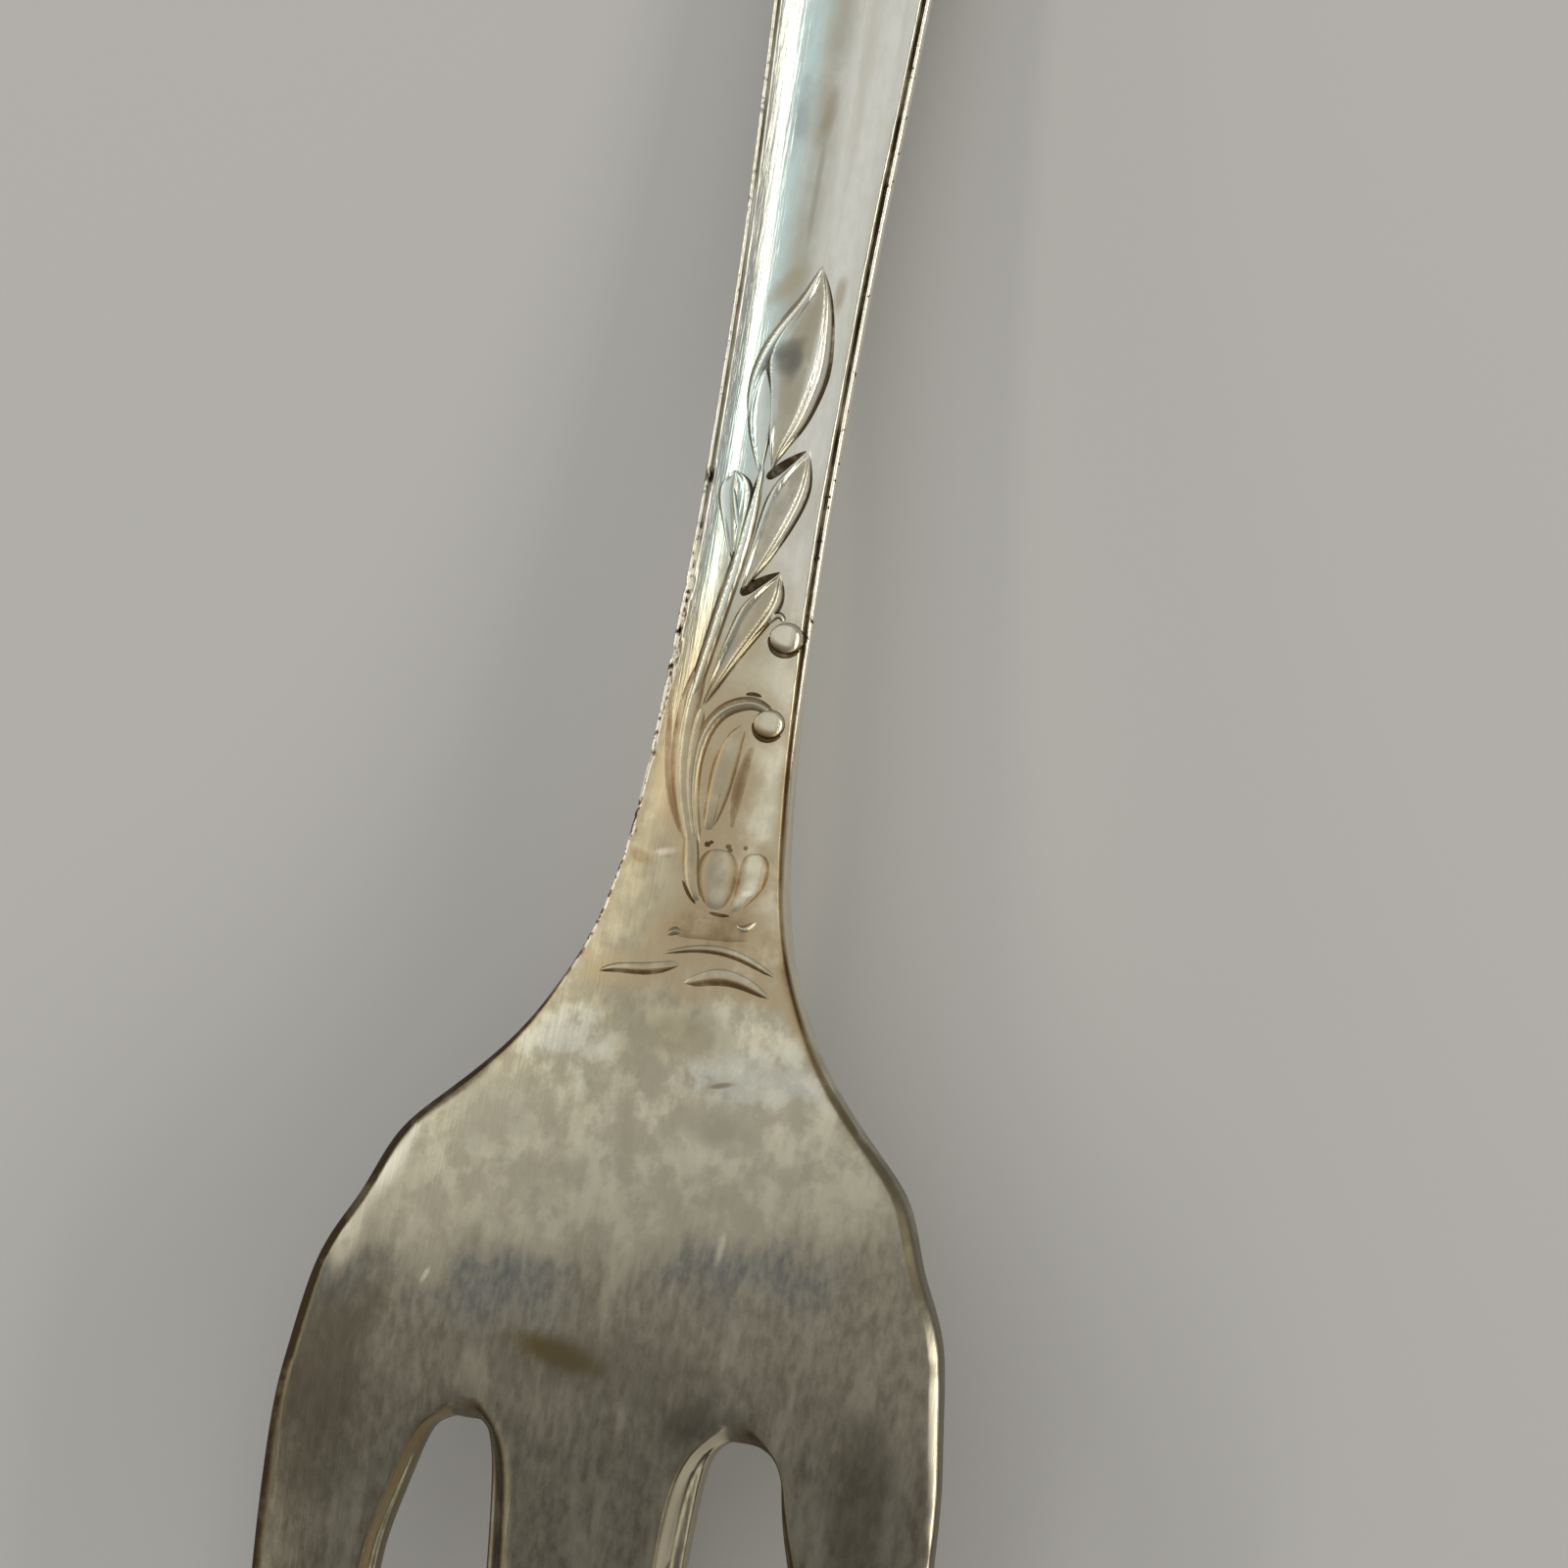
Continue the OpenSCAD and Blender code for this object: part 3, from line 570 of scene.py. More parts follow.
leftLeaves = {
    "upperLeft": [(-0.27, -18.07), (-0.52, -17.51), (-0.74, -16.95), (-0.86, -16.38), (-0.84, -15.8),
        (-0.71, -15.27), (-0.55, -15.02)],
    "upperRight": [(-0.12, -18.05), (-0.11, -17.47), (-0.07, -16.89), (-0.08, -16.31), (-0.18, -15.89),
        (-0.35, -15.47), (-0.51, -15.08)],
    "lowerLeft": [(-0.58, -20.79), (-0.8, -20.29), (-1.0, -19.72), (-1.23, -19.16), (-1.34, -18.74),
        (-1.23, -18.35), (-0.96, -18.13)],
    "lowerRight": [(-0.48, -20.69), (-0.41, -20.11), (-0.36, -19.52), (-0.31, -19.0), (-0.33, -18.57),
        (-0.53, -18.27), (-0.89, -18.13)],
    "rise": [0.5, 0.9, 1, 1, 1, 0.8, 0.5],
    "vein": [(-0.5, -19.91), (-0.71, -19.27), (-0.88, -18.7)], "veinWidth": [0.05, 0.07, 0.05],
}
pair = leftLeaves
seatOnBack("leaves_left", [
    addStrip(pair["upperLeft"], pair["upperRight"], puffedLobe, pair["rise"]),
    addStrip(pair["lowerLeft"], pair["lowerRight"], loopLeaf, pair["rise"]),
    addRidge(pair["vein"], pair["veinWidth"], 0.8)], "left_leaves")

rightLeaves = {
    "upperLeft": [(-0.17, -21.58), (-0.11, -20.94), (-0.03, -20.24), (0.07, -19.48), (0.16, -18.83),
        (0.44, -18.16), (1.02, -17.44)],
    "upperRight": [(-0.03, -21.56), (0.4, -20.88), (0.73, -20.2), (1.02, -19.46), (1.21, -18.83),
        (1.3, -18.2), (1.15, -17.42)],
    "lowerLeft": [(-0.68, -24.96), (-0.56, -24.14), (-0.38, -23.35), (-0.21, -22.67), (-0.07, -22.14),
        (0.27, -21.61), (0.84, -21.04)],
    "lowerRight": [(-0.55, -24.83), (-0.1, -24.09), (0.33, -23.24), (0.74, -22.55), (1.03, -21.99),
        (1.08, -21.5), (0.93, -21.03)],
    "rise": [0.5, 0.9, 1, 1, 1, 0.9, 0.5],
    "upperCut": [(0.02, -18.3), (0.3, -18.02), (0.62, -17.68), (1.06, -17.3)],
    "lowerCut": [(-0.16, -21.72), (0.1, -21.5), (0.45, -21.2), (0.92, -20.9)],
    "cutWidth": [0.11, 0.17, 0.12, 0.03],
}
pair = rightLeaves
seatOnBack("leaves_right", [
    addStrip(pair["upperLeft"], pair["upperRight"], hollowLeaf, pair["rise"]),
    addStrip(pair["lowerLeft"], pair["lowerRight"], hollowLeaf, pair["rise"]),
    addRidge(pair["upperCut"], pair["cutWidth"], 1, shadowAndDirtSliver),
    addRidge(pair["lowerCut"], pair["cutWidth"], 1, shadowAndDirtSliver)], "right_leaves")

mainStem = {
    "path": [(-0.13, -18.0), (-0.18, -18.87), (-0.24, -19.57), (-0.33, -20.39), (-0.43, -21.14),
        (-0.57, -21.85), (-0.69, -22.64), (-0.81, -23.42), (-0.95, -24.24), (-1.03, -24.9)],
    "width": [0.05, 0.1, 0.12, 0.13, 0.14, 0.14, 0.14, 0.13, 0.13, 0.1],
    "lower": [(-0.88, -23.7), (-1.03, -24.5), (-1.09, -25.4), (-1.05, -26.3), (-0.91, -27.25),
        (-0.62, -28.2), (-0.25, -29.05)],
    "lowerWidth": [0.1, 0.17, 0.19, 0.19, 0.18, 0.16, 0.1],
    "crease": [(-1.8, -24.26), (-1.6, -25.67), (-1.38, -27.08), (-0.98, -28.18), (-0.56, -28.87)],
    "creaseWidth": [0.02, 0.09, 0.11, 0.1, 0.02],
}
seatOnBack("stem", [
    addRidge(mainStem["path"], mainStem["width"], 0.9),
    addRidge(mainStem["lower"], mainStem["lowerWidth"], 1.1, softRidge),
    addRidge(mainStem["crease"], mainStem["creaseWidth"], 1, brownCrease)], "main_stem")

budSprigs = {
    "path": [(-0.1, -28.87), (-0.35, -28.11), (-0.51, -27.28), (-0.55, -26.57), (-0.49, -25.94),
        (-0.31, -25.46), (-0.03, -25.08), (0.33, -24.87), (0.73, -24.75), (1.05, -24.82), (1.29, -24.96)],
    "width": [0.06, 0.08, 0.09, 0.1, 0.12, 0.12, 0.12, 0.12, 0.11, 0.09, 0.07],
    "hook": [(0.78, -22.43), (0.9, -22.22), (1.1, -22.1), (1.22, -22.31)],
    "hookWidth": [0.05, 0.07, 0.07, 0.05],
    "pit": [(0.5, -24.55), (0.75, -24.47), (1.0, -24.56)], "pitWidth": [0.04, 0.07, 0.04],
}
seatOnBack("sprigs", [
    addRidge(budSprigs["path"], budSprigs["width"], 1.4, softRidge),
    addRidge(budSprigs["hook"], budSprigs["hookWidth"], 0.7),
    addRidge(budSprigs["pit"], budSprigs["pitWidth"], 1, shadowAndDirtSliver)], "bud_sprigs")

budPair = {"radius": 0.45, "flat": 0.46, "flatFrom": 0.35, "press": 0.45, "collar": 1.05, "collarFrom": -0.05,
           "lift": 0.04, "places": [(1.37, -22.79, 1), (1.31, -25.3, 0.92)],
           "shadeReach": 1.1, "shadeTurns": [180, 210, 240, 270, 300, 325],
           "shadeWidth": [0.03, 0.08, 0.12, 0.12, 0.08, 0.03]}


def addBud():  # a flattened ball on a low collar
    deselectAll()
    radius = budPair["radius"] * mm
    bpy.ops.mesh.primitive_uv_sphere_add(segments=32, ring_count=24, radius=radius)
    bud = bpy.context.object
    setMode('EDIT')
    bpy.ops.mesh.select_mode(type='VERT')
    bpy.ops.mesh.select_all(action='SELECT')
    resize((1, 1, budPair["flat"]))
    flatTop = budPair["flatFrom"] * budPair["flat"] * radius
    pickVerts(bud, lambda mesh: [v for v in mesh.verts if v.co.z > flatTop])
    resize((1, 1, budPair["press"]), (0, 0, flatTop))
    pickVerts(bud, lambda mesh: [v for v in mesh.verts if v.co.z < budPair["collarFrom"] * radius])
    resize((budPair["collar"], budPair["collar"], 1))
    setMode('OBJECT')
    bpy.ops.object.shade_smooth()
    dirtAndPaintedLight = bud.data.attributes.new("dirtAndPaintedLight", 'FLOAT', 'POINT')
    for i, v in enumerate(bud.data.vertices):  # painted shade: darker on the lower side and lighter towards the top, and darker towards the foot
        lower = -(0.9 * v.co.y + 0.25 * v.co.x) / radius
        high = v.co.z / (radius * budPair["flat"])
        dirtAndPaintedLight.data[i].value = min(1, max(0.1, 0.62 + 0.9 * lower - 1.3 * high))
    return bud


buds = [addBud()]
bpy.ops.object.duplicate(linked=False)
buds.append(bpy.context.object)
for bud, (x, y, size) in zip(buds, budPair["places"]):
    pickPieces(bud)
    setMode('EDIT')
    bpy.ops.mesh.select_all(action='SELECT')
    resize((size, size, size))
    bpy.ops.transform.translate(value=(x * mm, y * mm, budPair["lift"] * mm))
    setMode('OBJECT')
shades = []
for x, y, size in budPair["places"]:  # painted shadow: a dark crescent on the lower side of each bud
    reach = budPair["radius"] * size * budPair["shadeReach"]
    turns = [math.radians(a) for a in budPair["shadeTurns"]]
    arc = [(x + reach * math.cos(a), y + reach * math.sin(a)) for a in turns]
    shades.append(addRidge(arc, budPair["shadeWidth"], 1, shadowAndDirtSliver))
seatOnBack("bud_pair", buds + shades, "buds")

stalkRidges = {
    "leafStalk": [(-0.68, -25.07), (-0.77, -25.74), (-0.74, -26.51), (-0.66, -27.29), (-0.44, -28.12),
        (-0.18, -28.88)],
    "leafWidth": [0.09, 0.12, 0.12, 0.12, 0.11, 0.08],
    "innerStalk": [(0.12, -28.55), (0.22, -27.7), (0.27, -26.8), (0.38, -25.95), (0.64, -25.4)],
    "innerWidth": [0.14, 0.27, 0.33, 0.28, 0.08],
    "split": [(0.34, -27.0), (0.3, -27.74), (0.25, -28.42)], "splitWidth": [0.02, 0.06, 0.02],
    "crease": [(0.8, -28.6), (0.76, -27.7), (0.8, -26.8), (1, -25.75)],
    "creaseWidth": [0.02, 0.19, 0.22, 0.04],
}
s = stalkRidges
seatOnBack("stalk_ridges", [
    addRidge(s["leafStalk"], s["leafWidth"], 0.9, softRidge),
    addRidge(s["crease"], s["creaseWidth"], 1, brownCrease),
    addRidge(s["innerStalk"], s["innerWidth"], 0.6, wornLobe),
    addRidge(s["split"], s["splitWidth"], 4, brownCrease)], "stalks")

cupLobes = {
    "lobes": [([(-0.55, -28.45), (-0.46, -29.0), (-0.4, -29.6), (-0.24, -30.15), (0.1, -30.6)],
               [(-0.28, -28.45), (-0.05, -29.0), (0.03, -29.6), (0.1, -30.1), (0.28, -30.5)]),
              ([(0.36, -29.02), (0.12, -29.28), (0.06, -29.75), (0.2, -30.25), (0.5, -30.72)],
               [(0.82, -29.02), (1.06, -29.28), (1.14, -29.75), (1.1, -30.25), (0.92, -30.74)]),
              ([(1.4, -29.02), (1.25, -29.28), (1.27, -29.75), (1.24, -30.25), (1.14, -30.72)],
               [(1.75, -28.98), (1.95, -29.2), (2.0, -29.65), (1.88, -30.15), (1.4, -30.72)])],
    "rise": [0.3, 0.6, 0.75, 0.75, 0.4],
    "dots": [(0.2, -28.93, 0.12), (0.3, -28.86, 0.08), (0.8, -28.92, 0.11), (0.86, -29.02, 0.1),
        (1.28, -28.9, 0.09)],
    "leftLine": [(-0.36, -30.0), (-0.12, -30.42), (0.18, -30.68)], "lineWidth": [0.03, 0.07, 0.03],
    "baseLine": [(0.55, -30.84), (0.85, -30.9), (1.2, -30.87)],
}
cup = [addStrip(left, right, wornLobe, cupLobes["rise"]) for left, right in cupLobes["lobes"]]
for x, y, size in cupLobes["dots"]:
    dot = [(x - size, y), (x, y), (x + size, y)]
    cup.append(addRidge(dot, [size * 0.6, size, size * 0.6], 1, brownDot))
cup.append(addRidge(cupLobes["leftLine"], cupLobes["lineWidth"], 1, shadowAndDirtSliver))
cup.append(addRidge(cupLobes["baseLine"], cupLobes["lineWidth"], 1, shadowAndDirtSliver))
seatOnBack("calyx", cup, "cup")

footLines = {
    "footLeft": [(0.1, -30.98), (-0.2, -31.3), (-0.45, -31.72)],
    "footRight": [(1.45, -30.93), (1.7, -31.2), (2.0, -31.6)],
    "footRise": [0.6, 1, 0.6],
    "leftCurl": [(-0.5, -31.62), (-0.3, -31.42), (-0.08, -31.52)],
    "rightCurl": [(1.42, -31.1), (1.65, -31.3), (1.9, -30.95)],
    "curlWidth": [0.05, 0.08, 0.05],
    "topBand": [(-0.6, -32.18), (0.11, -31.92), (0.94, -31.81), (1.68, -31.93), (2.33, -32.2),
        (2.74, -32.42)],
    "topWidth": [0.04, 0.09, 0.12, 0.12, 0.1, 0.04],
    "leftUpper": [(-2.38, -32.84), (-2.0, -32.56), (-1.2, -32.5), (-0.5, -32.38), (0.02, -32.26)],
    "leftLower": [(-2.34, -32.92), (-2.08, -32.82), (-1.3, -32.8), (-0.7, -32.77), (0.06, -32.5)],
    "rightUpper": [(0.2, -32.85), (0.5, -32.6), (1.1, -32.3), (1.75, -32.4), (2.35, -32.66), (2.7, -33.0)],
    "rightLower": [(0.24, -32.97), (0.62, -32.92), (1.15, -32.76), (1.73, -32.78), (2.25, -32.94),
        (2.7, -33.08)],
    "leftRise": [0.4, 0.8, 0.9, 0.8, 0.4], "rightRise": [0.4, 0.8, 0.9, 0.9, 0.8, 0.4],
}
f = footLines
seatOnBack("foot_lines", [
    addStrip(f["footLeft"], f["footRight"], footPad, f["footRise"]),
    addRidge(f["leftCurl"], f["curlWidth"], 0.9, softRidge),
    addRidge(f["rightCurl"], f["curlWidth"], 0.9, softRidge),
    addRidge(f["topBand"], f["topWidth"], 0.8, lappedLobe),
    addStrip(f["leftUpper"], f["leftLower"], lappedLobe, f["leftRise"]),
    addStrip(f["rightUpper"], f["rightLower"], lappedLobe, f["rightRise"])], "foot_bands")


wear = {  # millimetres and shares of dirt
    "from": -35, "to": -10, "halo": 0.4, "haloTop": 0.1, "haloFoot": 0.3, "haloStart": -16, "haloLength": 13,
    "footAt": (0.85, -31.2), "footSize": (1.4, 0.65), "footDark": 0.26,
    "nickFrom": -34, "nickTo": -18, "nickEdge": 0.9, "nickWide": 0.24, "nickDeep": 0.09, "nickDirt": 3,
}


def wearBody():  # dirt creeps out from the relief, the neck is nicked
    relief = [o for o in bpy.data.objects if o.get("onBack")]
    points = [v.co.copy() for piece in relief for v in piece.data.vertices]
    near = KDTree(len(points))
    for i, p in enumerate(points):
        near.insert((p.x, p.y, 0), i)
    near.balance()
    dirtAndPaintedLight = body.data.attributes["dirtAndPaintedLight"]
    footX, footY = wear["footAt"]  # the foot of the spray is the dirtiest place
    footWide, footLong = wear["footSize"]
    for i, v in enumerate(body.data.vertices):
        x, y = v.co.x / mm, v.co.y / mm
        if not wear["from"] < y < wear["to"] or v.normal.z < 0.1:
            continue
        gap = near.find((v.co.x, v.co.y, 0))[2] / mm
        foot = clamped((wear["haloStart"] - y) / wear["haloLength"])
        creep = wear["haloTop"] * (1 - foot) + wear["haloFoot"] * foot
        creep *= math.exp(-(gap / wear["halo"]) ** 2)
        creep += wear["footDark"] * math.exp(-((x - footX) / footWide) ** 2 - ((y - footY) / footLong) ** 2)
        if abs(dirtAndPaintedLight.data[i].value) < creep:
            dirtAndPaintedLight.data[i].value = creep
        edge = smoothCurve(forkBody["halfWidth"], y - rootY / mm)
        if wear["nickFrom"] < y < wear["nickTo"] and x < -wear["nickEdge"] * edge:
            bite = max(0, noise.noise(Vector((0, y * 2.7, 3.1))) - 0.15)
            v.co.x += bite * wear["nickWide"] * mm
            v.co.z -= bite * wear["nickDeep"] * mm
            dirtAndPaintedLight.data[i].value = max(dirtAndPaintedLight.data[i].value, min(1, bite * wear["nickDirt"]))
    print("body worn")


wearBody()

silverTone = {  # bare metal, its tarnish and the dirt in its corners, and painted light: a cool reflection, the dark reflection of the lower head, highlights painted as bright bare metal and shade painted in the dirt tones
    "clean": (0.72, 0.722, 0.662), "coolReflection": (0.57, 0.7, 0.685), "smudge": (0.44, 0.44, 0.37),
    "haze": (0.52, 0.5, 0.41),
    "cream": (0.84, 0.79, 0.6), "tan": (0.45, 0.39, 0.26), "worn": (0.62, 0.585, 0.44),
    "dull": (0.42, 0.39, 0.29),
    "dusk": (0.36, 0.33, 0.25), "dark": (0.195, 0.178, 0.134), "deep": (0.14, 0.123, 0.09),
    "greyFilm": (0.39, 0.36, 0.27), "greyDeep": (0.22, 0.19, 0.14),
    "oliveFilm": (0.19, 0.158, 0.1), "oliveDeep": (0.1, 0.08, 0.045),
    "film": (0.46, 0.365, 0.225), "filmDeep": (0.25, 0.17, 0.085), "dirtAndShade": (0.05, 0.034, 0.018),
    "brownDirt": (0.1, 0.064, 0.029), "warmHighlight": (0.93, 0.84, 0.64), "tanHighlight": (0.54, 0.41, 0.22),
    "stain": (0.115, 0.082, 0.023), "blue": (0.115, 0.122, 0.122), "bareAndHighlight": (0.93, 0.88, 0.75),
}
bodyPatches = [  # place, turn, size, colour, amount, raggedness
    ((-1.5, -43.65), -0.19, (1.9, 0.56), "stain", 0.95, 0.45),
    ((-0.3, -12.55), 0.95, (1, 0.42), (0.4, 0.36, 0.24), 0.7, 1),
    ((1.2, -12.65), 1.5, (0.8, 0.2), (0.38, 0.33, 0.22), 0.7, 1),
    ((-0.79, -7.46), 1.5, (1.2, 0.5), (0.34, 0.38, 0.38), 0.7, 1.3),
    ((0.02, -7.48), 1.5, (1, 0.3), (0.34, 0.29, 0.2), 0.7, 1.3),
    ((0.05, -9.9), 1.57, (2.2, 0.11), (0.34, 0.32, 0.25), 0.6, 1),
    ((-3.0, -34.93), 0.3, (1.3, 0.9), (0.66, 0.69, 0.64), 0.4, 3.4),
    ((3.24, -35.34), 0.1, (1.7, 0.7), (0.62, 0.64, 0.58), 0.4, 3.4),
    ((0.27, -34.36), 0.1, (1.5, 0.5), (0.36, 0.31, 0.2), 0.55, 2.6),
    ((-4.76, -37.13), 0.6, (1.5, 1.1), (0.34, 0.32, 0.26), 0.55, 2.6),
    ((2.11, -36.9), -0.3, (1.1, 0.5), (0.3, 0.275, 0.21), 0.5, 3.6),
    # painted highlight: two bright cream patches along the left shoulder of the head
    ((-7.3, -38.5), 1.25, (2.1, 0.6), (0.86, 0.82, 0.68), 0.75, 0.6),
    ((-8.2, -41.2), 1.4, (1.5, 0.42), (0.8, 0.74, 0.58), 0.6, 0.9),
    ((-8.3, -45.6), 1.45, (5.4, 2), (0.1, 0.085, 0.06), 0.72, 1.3),
    ((2.6, -45.05), 0.5, (1.3, 0.8), (0.075, 0.065, 0.048), 0.6, 1.6),
    ((7.6, -46.5), -1.5, (4, 1.1), (0.1, 0.085, 0.06), 0.5, 1.2),
    ((0.85, -31.2), 0.15, (2.1, 0.95), (0.33, 0.26, 0.155), 0.8, 1.4),
    ((-1.75, -29.5), -0.35, (0.5, 0.24), (0.26, 0.19, 0.1), 0.7, 1.8),
    ((-1.03, -29.27), 0.15, (0.36, 0.12), "bareAndHighlight", 0.4, 1.6),
    ((-1.32, -25.9), 1.5, (1.6, 0.16), (0.3, 0.32, 0.3), 0.55, 1.4),
    ((-5.67, -42.01), 1.2, (0.32, 0.09), "bareAndHighlight", 0.3, 1.6),
    ((2.64, -40.14), 1.5, (0.6, 0.17), "cream", 0.32, 2),
    ((0.65, -45.35), 1.5, (0.6, 0.24), (0.4, 0.37, 0.29), 0.4, 2.6),
    ((1.78, -35.64), 0.25, (0.4, 0.09), (0.2, 0.15, 0.08), 0.7, 1.2),
    ((-0.9, -43.9), 0, (6, 1), (0.13, 0.115, 0.085), 0.4, 2.2),
]
reliefPatches = [
    # painted reflection: three dark grey patches form a wedge in the hollow of the top leaf
    ((0.02, -14.44), 0.68, (0.72, 0.3), (0.15, 0.15, 0.125), 0.65, 1),
    ((0.27, -14.78), 1.43, (0.9, 0.28), (0.15, 0.15, 0.125), 0.65, 1),
    ((0.08, -14.8), 0.9, (0.55, 0.45), (0.15, 0.15, 0.125), 0.7, 1.2),
    ((1.56, -30.17), 0.4, (0.2, 0.12), "bareAndHighlight", 0.8, 0.8),
    ((-0.27, -23.48), 1.15, (0.8, 0.2), (0.3, 0.31, 0.28), 0.6, 1),
]
tarnishAndReflectionZones = {  # millimetres, where each colour fades in along or across the fork; the cool zones and the dusk and dark zones of the lower head are painted reflections
    "slant": -0.164, "wipeSwing": 5, "mottleSwing": 2, "bandSwing": 2,
    "nearShank": (30, 0), "coolReflectionRight": (0.3, -0.3), "coolReflectionLeft": (-1.7, -1.2),
    "haze": (-0.6, 0.2), "smudgeLeft": (-0.8, -0.1), "smudgeRight": (0.7, 0),
    "smudgeFoot": (-22, -14), "tanTop": (-19, -26), "tanFoot": (-39, -33),
    "tanRight": (1.8, 0.4), "worn": (-30, -35), "dull": (-28, -34),
    "dusk": (-35.5, -41), "dark": (-39.7, -41.9), "neckSpots": (-20, -31),
    "headSpots": (-40.5, -50), "wiped": (-39.5, -42.5), "bandTop": (-40.1, -41.1),
    "bandFoot": (-43, -41.6), "bandRight": (6.8, 5), "grain": (-20, -34),
    "lowDown": (-19.5, -26.5), "onHead": (-33, -37), "sides": (-1, 1), "rough": (-21, -30),
}


def makeSilver(name, underDirt, overFilm):
    material = bpy.data.materials.new(name)
    material.use_nodes = True
    tree = material.node_tree
    shader = tree.nodes["Principled BSDF"]
    shader.inputs["Metallic"].default_value = 1

    def add(kind, **settings):
        node = tree.nodes.new("ShaderNode" + kind)
        for key, value in settings.items():
            setattr(node, key, value)
        return node

    def wire(source, target):
        tree.links.new(source, target)

    def feed(node, **values):
        for key, value in values.items():
            node.inputs[key].default_value = value

    place = add("TexCoord").outputs["Object"]

    def cloudy(scale, detail, stretch=(1, 1, 1)):
        mapping = add("Mapping")
        feed(mapping, Scale=stretch)
        wire(place, mapping.inputs["Vector"])
        texture = add("TexNoise")
        wire(mapping.outputs["Vector"], texture.inputs["Vector"])
        feed(texture, Scale=scale, Detail=detail, Roughness=0.6)
        return texture.outputs["Fac"]

    def span(value, low, high, first=0, last=1):
        ramp = add("MapRange", interpolation_type='SMOOTHSTEP')
        wire(value, ramp.inputs["Value"])
        for key, number in (("From Min", low), ("From Max", high), ("To Min", first), ("To Max", last)):
            ramp.inputs[key].default_value = number
        return ramp.outputs["Result"]

    def fade(value, key, first=0, last=1):
        low, high = tarnishAndReflectionZones[key]
        return span(value, low * mm, high * mm, first, last)

    def sums(kind, a, b):
        node = add("Math", operation=kind)
        for socket, value in zip(node.inputs, (a, b)):
            if isinstance(value, (int, float)):
                socket.default_value = value
            else:
                wire(value, socket)
        return node.outputs["Value"]

    def plus(a, b):
        return sums('ADD', a, b)

    def times(a, b):
        return sums('MULTIPLY', a, b)

    def swing(value, key):  # a noise, moved to lie round zero
        return times(sums('SUBTRACT', value, 0.5), tarnishAndReflectionZones[key] * mm)

    def blend(amount, a, b):
        mix = add("Mix", data_type='RGBA')
        wire(amount, mix.inputs["Factor"])
        for key, value in ((6, a), (7, b)):  # the two colour sockets
            if isinstance(value, tuple):
                mix.inputs[key].default_value = (*value, 1)
            else:
                wire(value, mix.inputs[key])
        return mix.outputs[2]

    tone = silverTone["clean"]

    def coat(amount, colour):  # one more colour over what is there
        nonlocal tone
        tone = blend(amount, tone, silverTone.get(colour, colour))

    axes = add("SeparateXYZ")
    wire(place, axes.inputs["Vector"])
    x, y = axes.outputs["X"], axes.outputs["Y"]
    cloud = cloudy(300, 4)
    mottle = cloudy(1150, 6, (1, 0.75, 1))
    grain = cloudy(4400, 4, (1, 0.4, 1))
    streak = cloudy(330, 4, (7, 0.35, 1))
    wipe = cloudy(420, 5, (2.4, 0.45, 1))
    scratch = cloudy(1100, 3, (12, 0.3, 1))
    haze = cloudy(300, 5, (3.2, 0.2, 1))
    chips = cloudy(3600, 2)
    slanted = times(x, tarnishAndReflectionZones["slant"])
    shiftedY = plus(y, plus(swing(wipe, "wipeSwing"), swing(mottle, "mottleSwing")))
    tiltedY = plus(shiftedY, slanted)
    bandY = plus(plus(y, slanted), swing(wipe, "bandSwing"))

    nearShank = fade(y, "nearShank")  # the streaks die out along the handle
    # painted reflection: a cool tint in streaks on the left of the handle stands for a reflected cool light
    coolReflection = times(fade(x, "coolReflectionRight"), fade(x, "coolReflectionLeft"))
    coolReflection = times(times(span(streak, 0.34, 0.5), coolReflection), nearShank)
    coat(coolReflection, "coolReflection")
    coat(times(span(haze, 0.42, 0.64, 0, 0.5), fade(x, "haze")), "haze")
    smudge = times(fade(x, "smudgeLeft"), fade(x, "smudgeRight"))
    smudge = times(times(smudge, span(cloud, 0.33, 0.55, 0.4, 1)), nearShank)
    coat(times(smudge, fade(y, "smudgeFoot")), "smudge")

    worn = fade(shiftedY, "worn")  # the tan neck and the worn palm
    coat(times(worn, span(cloud, 0.24, 0.42, 0.55, 1)), "worn")
    tan = times(fade(shiftedY, "tanTop"), fade(shiftedY, "tanFoot"))
    coat(tan, "cream")
    tan = times(tan, fade(x, "tanRight", 0.15, 1))
    coat(times(tan, span(mottle, 0.25, 0.6, 0.85, 1)), "tan")
    dull = times(fade(shiftedY, "dull"), span(mottle, 0.4, 0.6, 0, 0.5))
    coat(dull, "dull")
    coat(times(worn, span(wipe, 0.46, 0.66, 0, 0.6)), "dull")

    coat(fade(tiltedY, "dusk", 0, 0.7), "dusk")  # the lower head painted dark, a painted dark reflection
    coat(fade(tiltedY, "dark"), "dark")
    spots = plus(fade(shiftedY, "neckSpots", 0, 0.4), fade(tiltedY, "headSpots", 0, 0.6))
    coat(times(spots, span(mottle, 0.36, 0.6, 0, 0.85)), "deep")
    wiped = times(fade(tiltedY, "wiped"), span(wipe, 0.5, 0.68, 0, 0.5))
    coat(wiped, "dusk")
    blue = times(fade(bandY, "bandTop"), fade(bandY, "bandFoot"))
    blue = times(times(blue, span(cloud, 0.38, 0.54, 0, 0.75)), fade(x, "bandRight"))
    coat(blue, "blue")
    grainy = times(span(grain, 0.3, 0.7), fade(y, "grain", 0.15, 0.34))
    coat(grainy, "dull")

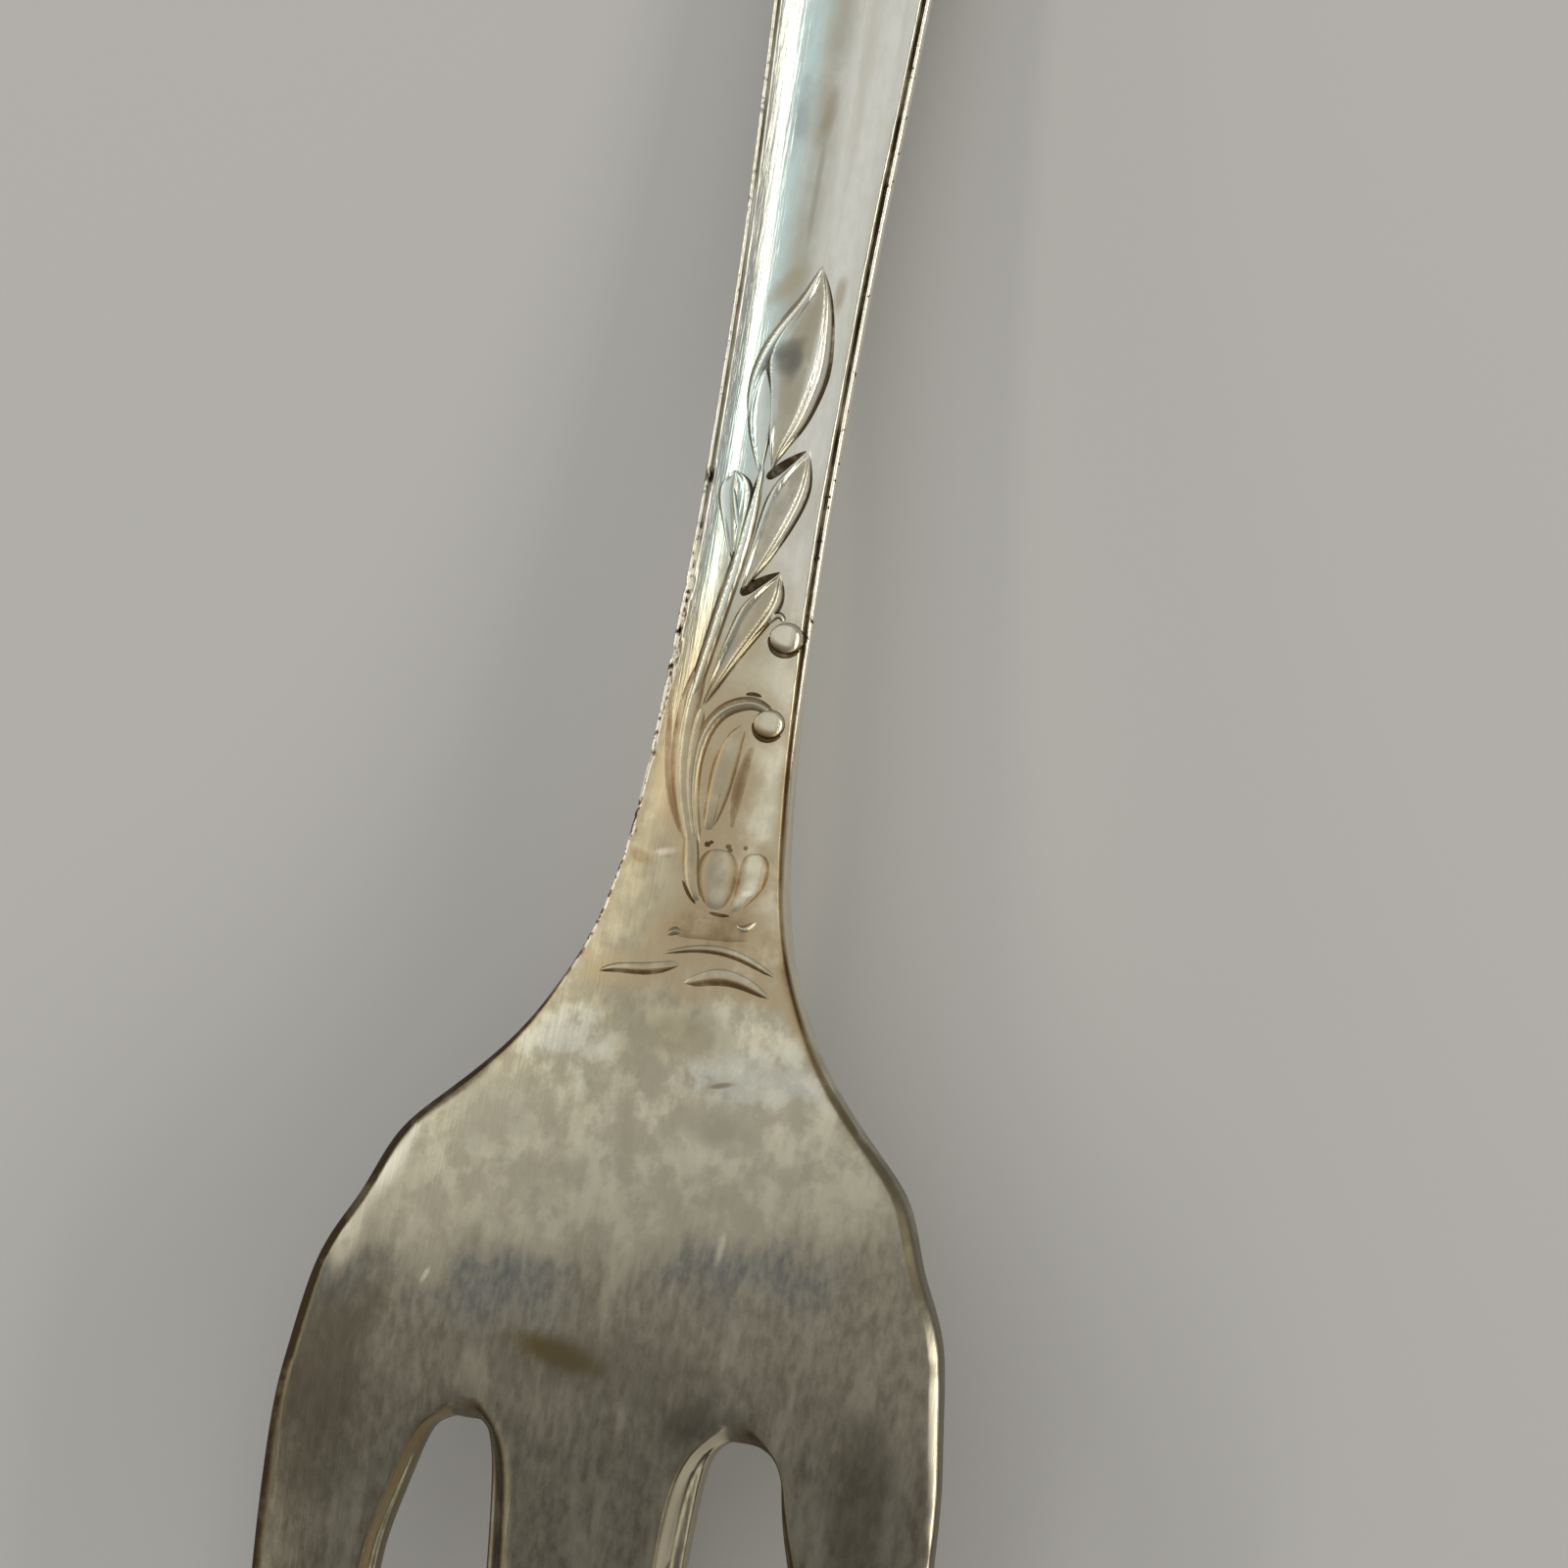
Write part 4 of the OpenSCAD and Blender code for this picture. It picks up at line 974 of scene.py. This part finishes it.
    def addPatches(patches):
        for middle, angle, size, colour, amount, ragged in patches:
            spot = add("Mapping", vector_type='TEXTURE')
            feed(spot, Location=(middle[0] * mm, middle[1] * mm, 0), Rotation=(0, 0, angle),
                 Scale=(size[0] * mm, size[1] * mm, 1))
            wire(place, spot.inputs["Vector"])
            away = add("VectorMath", operation='LENGTH')
            wire(spot.outputs["Vector"], away.inputs[0])
            uneven = times(sums('SUBTRACT', plus(mottle, cloud), 1), ragged)
            coat(span(plus(away.outputs["Value"], uneven), 1.1, 0.25, 0, amount), colour)

    addPatches(underDirt)
    # the attribute holds dirt and painted shade above zero and painted highlights below zero
    dirtAndPaintedLight = add("Attribute", attribute_name="dirtAndPaintedLight").outputs["Fac"]
    dirtAndShade = times(dirtAndPaintedLight, span(mottle, 0.25, 0.6, 0.6, 1.1))
    lowDown = fade(y, "lowDown")
    onHead = fade(y, "onHead")

    def threeTone(handle, neck, head):
        return blend(onHead, blend(lowDown, silverTone[handle], silverTone[neck]), silverTone[head])

    film = threeTone("greyFilm", "film", "oliveFilm")
    filmDeep = threeTone("greyDeep", "filmDeep", "oliveDeep")
    dirtAndShadeTone = threeTone("dirtAndShade", "brownDirt", "dirtAndShade")
    headHighlight = blend(fade(x, "sides"), silverTone["tanHighlight"], silverTone["warmHighlight"])
    # painted highlight: where the attribute is below zero the metal is painted bright
    coat(span(dirtAndPaintedLight, 0, -0.8), blend(onHead, silverTone["bareAndHighlight"], headHighlight))
    # dirt and tarnish film, with painted shade in the creases, on the walls and on the lower side of the buds
    coat(span(dirtAndShade, 0.04, 0.4), film)
    addPatches(overFilm)
    coat(span(dirtAndShade, 0.32, 0.72), filmDeep)
    coat(span(dirtAndShade, 0.6, 0.95), dirtAndShadeTone)
    rub = add("Attribute", attribute_name="rub").outputs["Fac"]
    coat(times(rub, span(chips, 0.4, 0.5)), "bareAndHighlight")
    coat(times(rub, span(chips, 0.4, 0.33)), "dirtAndShade")
    wire(tone, shader.inputs["Base Color"])
    rough = plus(span(streak, 0.3, 0.7, 0.105, 0.15), times(fade(shiftedY, "rough"), 0.2))
    wire(plus(rough, span(dirtAndShade, 0.1, 1, 0, 0.25)), shader.inputs["Roughness"])
    bump = add("Bump")
    feed(bump, Strength=0.3, Distance=0.02 * mm)
    wire(plus(scratch, times(grain, 0.3)), bump.inputs["Height"])
    wire(bump.outputs["Normal"], shader.inputs["Normal"])
    print(name, "finished,", len(tree.nodes), "nodes")
    return material


bodySilver = makeSilver("struck_silver", bodyPatches, [])
reliefSilver = makeSilver("relief_silver", [], reliefPatches)
body.data.materials.append(bodySilver)
for piece in bpy.data.objects:
    if piece.get("onBack"):
        piece.data.materials.clear()
        piece.data.materials.append(reliefSilver)

deselectAll()
bpy.ops.mesh.primitive_plane_add(size=3, location=(0, 0, 0))
floor = bpy.context.object
floor.name = "floor"
pale = bpy.data.materials.new("pale")
pale.use_nodes = True
paleInputs = pale.node_tree.nodes["Principled BSDF"].inputs
paleInputs["Base Color"].default_value = (0.62, 0.61, 0.59, 1)
paleInputs["Roughness"].default_value = 0.9
floor.data.materials.append(pale)

shot = {"from": (43.235, -38.493, 170.453), "towards": (2.195, -26.983, 5.883),  # millimetres
        "lean": 8.206, "lens": 138.85}
cameraData = bpy.data.cameras.new("camera")
camera = bpy.data.objects.new("camera", cameraData)
bpy.context.scene.collection.objects.link(camera)
bpy.context.scene.camera = camera
cameraData.lens = shot["lens"]
cameraData.sensor_width = 36
cameraData.clip_start = 0.005
away = (Vector(shot["from"]) - Vector(shot["towards"])).normalized()
upright = (Vector((0, 1, 0)) - away * away.y).normalized()
across = upright.cross(away)
turn = math.radians(shot["lean"])
right = upright * math.sin(turn) + across * math.cos(turn)
up = upright * math.cos(turn) - across * math.sin(turn)
facing = Matrix((right, up, away)).transposed().to_4x4()
camera.matrix_world = Matrix.Translation(Vector(shot["from"]) * mm) @ facing

world = bpy.data.worlds.new("world")
bpy.context.scene.world = world
world.use_nodes = True
skyInputs = world.node_tree.nodes["Background"].inputs
skyInputs["Color"].default_value = (1, 1, 1, 1)
skyInputs["Strength"].default_value = 0.36

lamps = {  # place, target, length, height, watts, colour
    "softbox": ((-0.015, 0.205, 0.44), (0, -0.03, 0), 0.84, 0.42, 0.51, (1, 0.985, 0.96)),
    "strip": ((-0.414, 0.1, 0.347), (0, 0.1, 0), 0.6, 0.06, 0.4, (1, 0.96, 0.83)),
    "leftEdge": ((-0.5, 0.02, 0.15), (0, 0.02, 0), 0.6, 0.08, 0.33, (1, 0.97, 0.9)),
    "rightEdge": ((0.47, -0.02, 0.28), (0, -0.02, 0), 0.6, 0.16, 0.85, (1, 0.95, 0.82)),
}
for name, (place, target, length, height, watts, colour) in lamps.items():
    lampData = bpy.data.lights.new(name, 'AREA')
    lampData.shape = 'RECTANGLE'
    lampData.size = length
    lampData.size_y = height
    lampData.energy = watts
    lampData.color = colour
    lamp = bpy.data.objects.new(name, lampData)
    bpy.context.scene.collection.objects.link(lamp)
    lamp.location = place
    lamp.rotation_euler = (Vector(target) - Vector(place)).to_track_quat('-Z', 'Y').to_euler()

bpy.context.scene.view_settings.view_transform = 'Standard'
